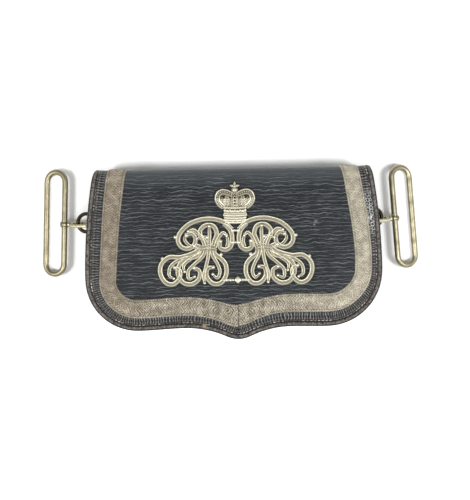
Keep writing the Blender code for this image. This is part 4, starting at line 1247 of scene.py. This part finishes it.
def wirePiece(name, points, radius, closed, sides=24):
    # A round wire that follows points, its section kept square to the path.
    points = [Vector(p) for p in points]
    count = len(points)
    ways = []
    for i in range(count):
        before = points[i - 1] if closed or i else points[0]
        after = points[(i + 1) % count] if closed or i < count - 1 else points[-1]
        ways.append((after - before).normalized())
    normal = ways[0].orthogonal().normalized()
    normals = [normal]
    for i in range(1, count):
        normal = (normal - ways[i] * normal.dot(ways[i])).normalized()
        normals.append(normal)
    rows = count if closed else count - 1

    def place(u, v):
        k = nearest(v, rows) % count
        turn = u * 2 * math.pi
        centre = np.array([p[:] for p in points])[k]
        first = np.array([n[:] for n in normals])[k]
        second = np.array([w.cross(n)[:] for w, n in zip(ways, normals)])[k]
        ring = first * np.cos(turn)[:, None] + second * np.sin(turn)[:, None]
        return centre + ring * radius, np.stack([v, u], axis=-1), {}
    wire = joinPieces(name, [gridPiece(name, sides, rows, place)], merge=0.004 * mm)
    return wire if closed else closeEnds(wire)


def turnedPiece(name, centre, out, profile, sides=40):
    # A turned part: profile pairs of distance along out and radius.
    seed = out.orthogonal().normalized()
    other = out.cross(seed)

    def place(u, v):
        along, radius = np.array(profile)[nearest(v, len(profile) - 1)].T[:, :, None]
        turn = (u * 2 * math.pi)[:, None]
        ring = np.array(seed) * np.cos(turn) + np.array(other) * np.sin(turn)
        return np.array(centre) + np.array(out) * along + ring * radius, np.stack([u, v], axis=-1), {}
    return joinPieces(name, [gridPiece(name, sides, len(profile) - 1, place)], merge=0.004 * mm)


def stadium(halfStraight, radius, steps, straightSteps):
    # A closed oblong with round ends.
    made = []
    for side in (1, -1):
        start = 0 if side > 0 else 180
        made += [(radius * math.cos(math.radians(start + 180 * i / steps)),
                  side * halfStraight + radius * math.sin(math.radians(start + 180 * i / steps)))
                 for i in range(steps + 1)]
        made += [(-side * radius, side * halfStraight * (1 - 2 * i / straightSteps))
                 for i in range(1, straightSteps)]
    return made


def rounded(start, end, radius, edge):
    # A closed turned profile with softened edges, from start to end along the axis.
    steps = [0, 30, 60, 90]
    made = [(start, 0.0)]
    made += [(start + edge - edge * math.cos(math.radians(a)), radius - edge + edge * math.sin(
        math.radians(a))) for a in steps]
    made += [(end - edge + edge * math.sin(math.radians(a)), radius - edge + edge * math.cos(
        math.radians(a))) for a in steps]
    return made + [(end, 0.0)]


for word in ("left", "right"):
    centre, out, along, up = loopFrame(word)
    title = word.capitalize()
    middle = centre + out * hardware["loopEnd"] + along * hardware["loopShift"]
    ring = [middle + out * a + along * b for a, b in stadium(
        hardware["loopHalfLength"][word] - hardware["loopEnd"], hardware["loopEnd"], 24, 60)]
    bar = wirePiece("loopWire", ring, hardware["loopWire"], True)
    reach = hardware["bossHalfLength"]
    hole, bossRadius = hardware["bossHole"], hardware["bossRadius"]
    boss = turnedPiece("boss", centre, out, [
        (-reach, hole), (-reach, bossRadius - 0.35 * mm), (-reach + 0.12 * mm, bossRadius - 0.12 * mm),
        (-reach + 0.35 * mm, bossRadius), (reach - 0.35 * mm, bossRadius),
        (reach - 0.12 * mm, bossRadius - 0.12 * mm), (reach, bossRadius - 0.35 * mm), (reach, hole),
        (-reach, hole)])
    loop = joinPieces("beltLoop" + title, [bar, boss], merge=0)
    smooth(loop, 40)
    finishPiece(loop, nickelWire, "loop_" + word, "plated_wire", "belt_loop_" + word)

    collarStart = hardware["bossHalfLength"] + hardware["gap"]
    collarEnd = collarStart + hardware["collarLength"]
    eyeNear = collarEnd + 0.6 * hardware["eyeWire"]
    eyeFar = eyeNear + hardware["eyeLength"]
    leanAngle = math.radians(hardware["eyeLean"])
    lean = along * math.sin(leanAngle) + up * math.cos(leanAngle)
    eyeMiddle = centre - out * ((eyeNear + eyeFar) / 2)
    eyeRing = [eyeMiddle + lean * a + out * b for a, b in stadium(
        hardware["eyeLength"] / 2 - hardware["eyeHalfWidth"], hardware["eyeHalfWidth"], 20, 12)]
    headEnd = collarStart + hardware["headLength"]
    swivelParts = [
        wirePiece("eye", eyeRing, hardware["eyeWire"], True, 20),
        turnedPiece("collar", centre, out, rounded(-collarEnd, -collarStart,
                                                   hardware["collarRadius"], 0.35 * mm)),
        turnedPiece("shank", centre, out, rounded(-eyeNear, headEnd - 0.1 * mm, hardware["shank"],
                                                  0.1 * mm)),
        turnedPiece("head", centre, out, [
            (collarStart, 0.0), (collarStart, hardware["headRadius"] - 0.1 * mm),
            (collarStart + 0.1 * mm, hardware["headRadius"]),
            (collarStart + 0.3 * mm, hardware["headRadius"] * 0.9),
            (collarStart + 0.5 * mm, hardware["headRadius"] * 0.62),
            (headEnd, hardware["headRadius"] * 0.3), (headEnd + 0.02 * mm, 0.0)]),
    ]
    swivel = joinPieces("swivel" + title, swivelParts, merge=0)
    smooth(swivel, 40)
    finishPiece(swivel, rubbedHighlightWire, "pouch", "plated_wire", "swivel_" + word)

    side = -1 if word == "left" else 1
    y0, z0, bend = hardware["stapleY"], hardware["stapleZ"], hardware["stapleBend"]
    tipX = hardware["stapleReach"][word]
    reachX, span = tipX - bend, hardware["stapleHalfSpan"] - bend
    startX = hardware["plateX"] + hardware["stapleSunk"]
    bow = [(startX + (reachX - startX) * i / 8, -hardware["stapleHalfSpan"]) for i in range(9)]
    bow += arc((reachX, -span), bend, -90, 0, 10) + [(tipX, span)]
    bow += arc((reachX, span), bend, 0, 90, 10)
    bow += [(reachX + (startX - reachX) * i / 8, hardware["stapleHalfSpan"]) for i in range(1, 9)]
    bowPiece = wirePiece("bow", [(side * x, y0 + y, z0) for x, y in bow], hardware["stapleWire"], False)
    plate = addPrimitive(bpy.ops.mesh.primitive_cylinder_add, vertices=48, rotation=(0, math.pi / 2, 0),
                         radius=hardware["plateWidth"] / 2, depth=hardware["plateThick"])
    shift = hardware["plateLength"] / 2 - hardware["plateWidth"] / 2
    for vert in plate.data.vertices:
        vert.co.y += shift if vert.co.y > 1e-5 else -shift
        vert.co += Vector((side * (hardware["plateX"] + hardware["plateThick"] / 2), y0, z0))
    applyModifier(plate, "BEVEL", width=0.25 * mm, segments=3, limit_method="ANGLE")
    rivetX = side * (hardware["plateX"] + hardware["plateThick"] - 0.1 * mm)
    rivetProfile = [(0, 0.0), (0, 0.9 * mm), (0.2 * mm, 0.85 * mm), (0.4 * mm, 0.6 * mm),
                    (0.5 * mm, 0.25 * mm), (0.52 * mm, 0.0)]
    rivets = [turnedPiece("rivet", Vector((rivetX, y0 + way * hardware["rivetFromMiddle"], z0)),
                          Vector((side, 0, 0)), rivetProfile, 16) for way in (1, -1)]
    staple = joinPieces("staple" + title, [bowPiece, plate] + rivets, merge=0)
    # the staples take the dark brown tone
    stapleTone = staple.data.attributes.new("stapleTone", "FLOAT", "POINT")
    stapleTone.data.foreach_set("value", np.full(len(staple.data.vertices), 0.95))
    smooth(staple, 40)
    finishPiece(staple, nickelWire, "pouch", "plated_wire", "staple_" + word)
    print("hardware:", word)

# the pocket under the flap

pocketLook = {
    "halfWidth": 73.5 * mm, "top": 35.0 * mm, "bottom": -35.0 * mm, "corner": 12.0 * mm,
    "frontTop": 23.5 * mm, "frontThickness": 2.0 * mm, "wall": 1.8 * mm, "bulge": 0.5 * mm,
    "frontOverhang": 0.5 * mm, "wallRun": 280 * mm,
    # takes the pocket's grain past the fold's smooth part
    "grainShift": 100 * mm,
}


def pocketLine(half, bottom, corner, top, count):
    # The pocket's two sides and lower edge, seen from the front.
    low = bottom + corner
    line = [(-half, top), (-half, low)]
    line += arc((corner - half, low), corner, 180, 270, 12)
    line += [(half - corner, bottom)] + arc((half - corner, low), corner, -90, 0, 12) + [(half, top)]
    return resample(line, count + 1)


def gussetPlace(count):
    # The wall from the back sheet to the pocket's front.
    line = pocketLine(pocketLook["halfWidth"], pocketLook["bottom"], pocketLook["corner"],
                      pocketLook["top"], count)
    tangent = np.gradient(line, axis=0)
    tangent /= np.linalg.norm(tangent, axis=1)[:, None]
    outward = np.stack([tangent[:, 1], -tangent[:, 0]], axis=-1)
    lowZ = form["thickness"] + 0.05 * mm
    highZ = pocketLook["frontTop"] - pocketLook["frontThickness"] - 0.05 * mm

    def place(u, v):
        i = nearest(u, count)
        belly = pocketLook["bulge"] * (np.sin(math.pi * v) - 1)
        flatPlace = line[i] + outward[i] * belly[:, None]
        z = lowZ + (highZ - lowZ) * v
        points = np.stack([flatPlace[:, 0], flatPlace[:, 1], z], axis=-1)
        return points, np.stack([z + pocketLook["grainShift"], u * pocketLook["wallRun"]], axis=-1), {}
    return place


wallCount = 200
outerWall = gridPiece("gussetOuter", wallCount, 16, gussetPlace(wallCount))
applyModifier(outerWall, "SOLIDIFY", thickness=pocketLook["wall"], offset=-1.0)
gusset = joinPieces("pocketGusset", [outerWall], merge=0.004 * mm)
smooth(gusset, 50)
finishPiece(gusset, pocketLeather, "pouch", "black_leather", "pocket_gusset")

overhang = pocketLook["frontOverhang"]
frontLine = pocketLine(pocketLook["halfWidth"] + overhang, pocketLook["bottom"] - overhang,
                       pocketLook["corner"], pocketLook["top"] + 2 * overhang, 200)
front = addPrimitive(bpy.ops.mesh.primitive_circle_add, vertices=len(frontLine), fill_type="NGON")
front.name = "pocketFront"
for vert, (x, y) in zip(front.data.vertices, frontLine):
    vert.co = (x, y, pocketLook["frontTop"])
chooseOnly(front)
bpy.ops.object.mode_set(mode="EDIT")
bpy.ops.mesh.select_all(action="SELECT")
bpy.ops.mesh.normals_make_consistent(inside=False)
bpy.ops.mesh.extrude_region_move(TRANSFORM_OT_translate={"value": (0, 0, -pocketLook["frontThickness"])})
bpy.ops.mesh.select_all(action="SELECT")
bpy.ops.mesh.normals_make_consistent(inside=False)
bpy.ops.object.mode_set(mode="OBJECT")
applyModifier(front, "BEVEL", width=0.5 * mm, segments=3, limit_method="ANGLE")
frontUv = front.data.uv_layers[0] if front.data.uv_layers else front.data.uv_layers.new(name="UVMap")
for loop in front.data.loops:
    co = front.data.vertices[loop.vertex_index].co
    frontUv.data[loop.index].uv = (co.x, co.y + pocketLook["grainShift"])
frontUv.name = "UVMap"
smooth(front, 40)
finishPiece(front, pocketLeather, "pouch", "black_leather", "pocket_front")
print("pocket made")

# floor, light and camera

studio = {
    "floor": "f7f7f6",
    "floorDrop": 0.02 * mm,
    "cameraHeight": 720 * mm,
    "cameraOver": (0.95 * mm, 0.5 * mm),
    "sensor": 36,
    # the photo's rows, and how much of the table one of them shows
    "rows": 500,
    "tableScale": 0.5899 * mm,
    "turn": -1.1,  # degrees
    "world": 0.44,
    # place, size and watts
    "lights": {
        "boxFront": ((0.0, -0.42, 1.15), (0.5, 0.4), 3.6),
        "boxLeft": ((-0.71, -0.23, 1.07), (0.34, 0.34), 13.0),
        "boxRight": ((0.71, -0.23, 1.07), (0.34, 0.34), 13.0),
    },
}
floor = addPrimitive(bpy.ops.mesh.primitive_plane_add, size=4.0, location=(0, 0, -studio["floorDrop"]))
floor.name = "floor"
floorPaper, floorShader = startMaterial("white paper")
floorShader.inputs["Base Color"].default_value = hexColour(studio["floor"])
floorShader.inputs["Roughness"].default_value = 0.9
floor.data.materials.append(floorPaper)

world = bpy.data.worlds.new("studio")
bpy.context.scene.world = world
world.use_nodes = True
world.node_tree.nodes["Background"].inputs[0].default_value = (1, 1, 1, 1)
world.node_tree.nodes["Background"].inputs[1].default_value = studio["world"]


def areaLight(name, location, size, power):
    # A soft box that faces the pouch.
    data = bpy.data.lights.new(name, "AREA")
    data.shape = "RECTANGLE"
    data.size, data.size_y = size
    data.energy = power
    light = bpy.data.objects.new(name, data)
    bpy.context.collection.objects.link(light)
    light.location = location
    light.rotation_euler = (Vector() - Vector(location)).to_track_quat("-Z", "Y").to_euler()


for name, (location, size, power) in studio["lights"].items():
    areaLight(name, location, size, power)

cameraData = bpy.data.cameras.new("overhead")
cameraData.sensor_width = studio["sensor"]
cameraData.lens = studio["sensor"] * studio["cameraHeight"] / (studio["rows"] * studio["tableScale"])
camera = bpy.data.objects.new("overhead", cameraData)
bpy.context.collection.objects.link(camera)
camera.location = (*studio["cameraOver"], studio["cameraHeight"])
camera.rotation_euler = (0, 0, math.radians(studio["turn"]))
cameraData.clip_start, cameraData.clip_end = 0.01, 20
bpy.context.scene.camera = camera
bpy.context.scene.view_settings.view_transform = "Standard"
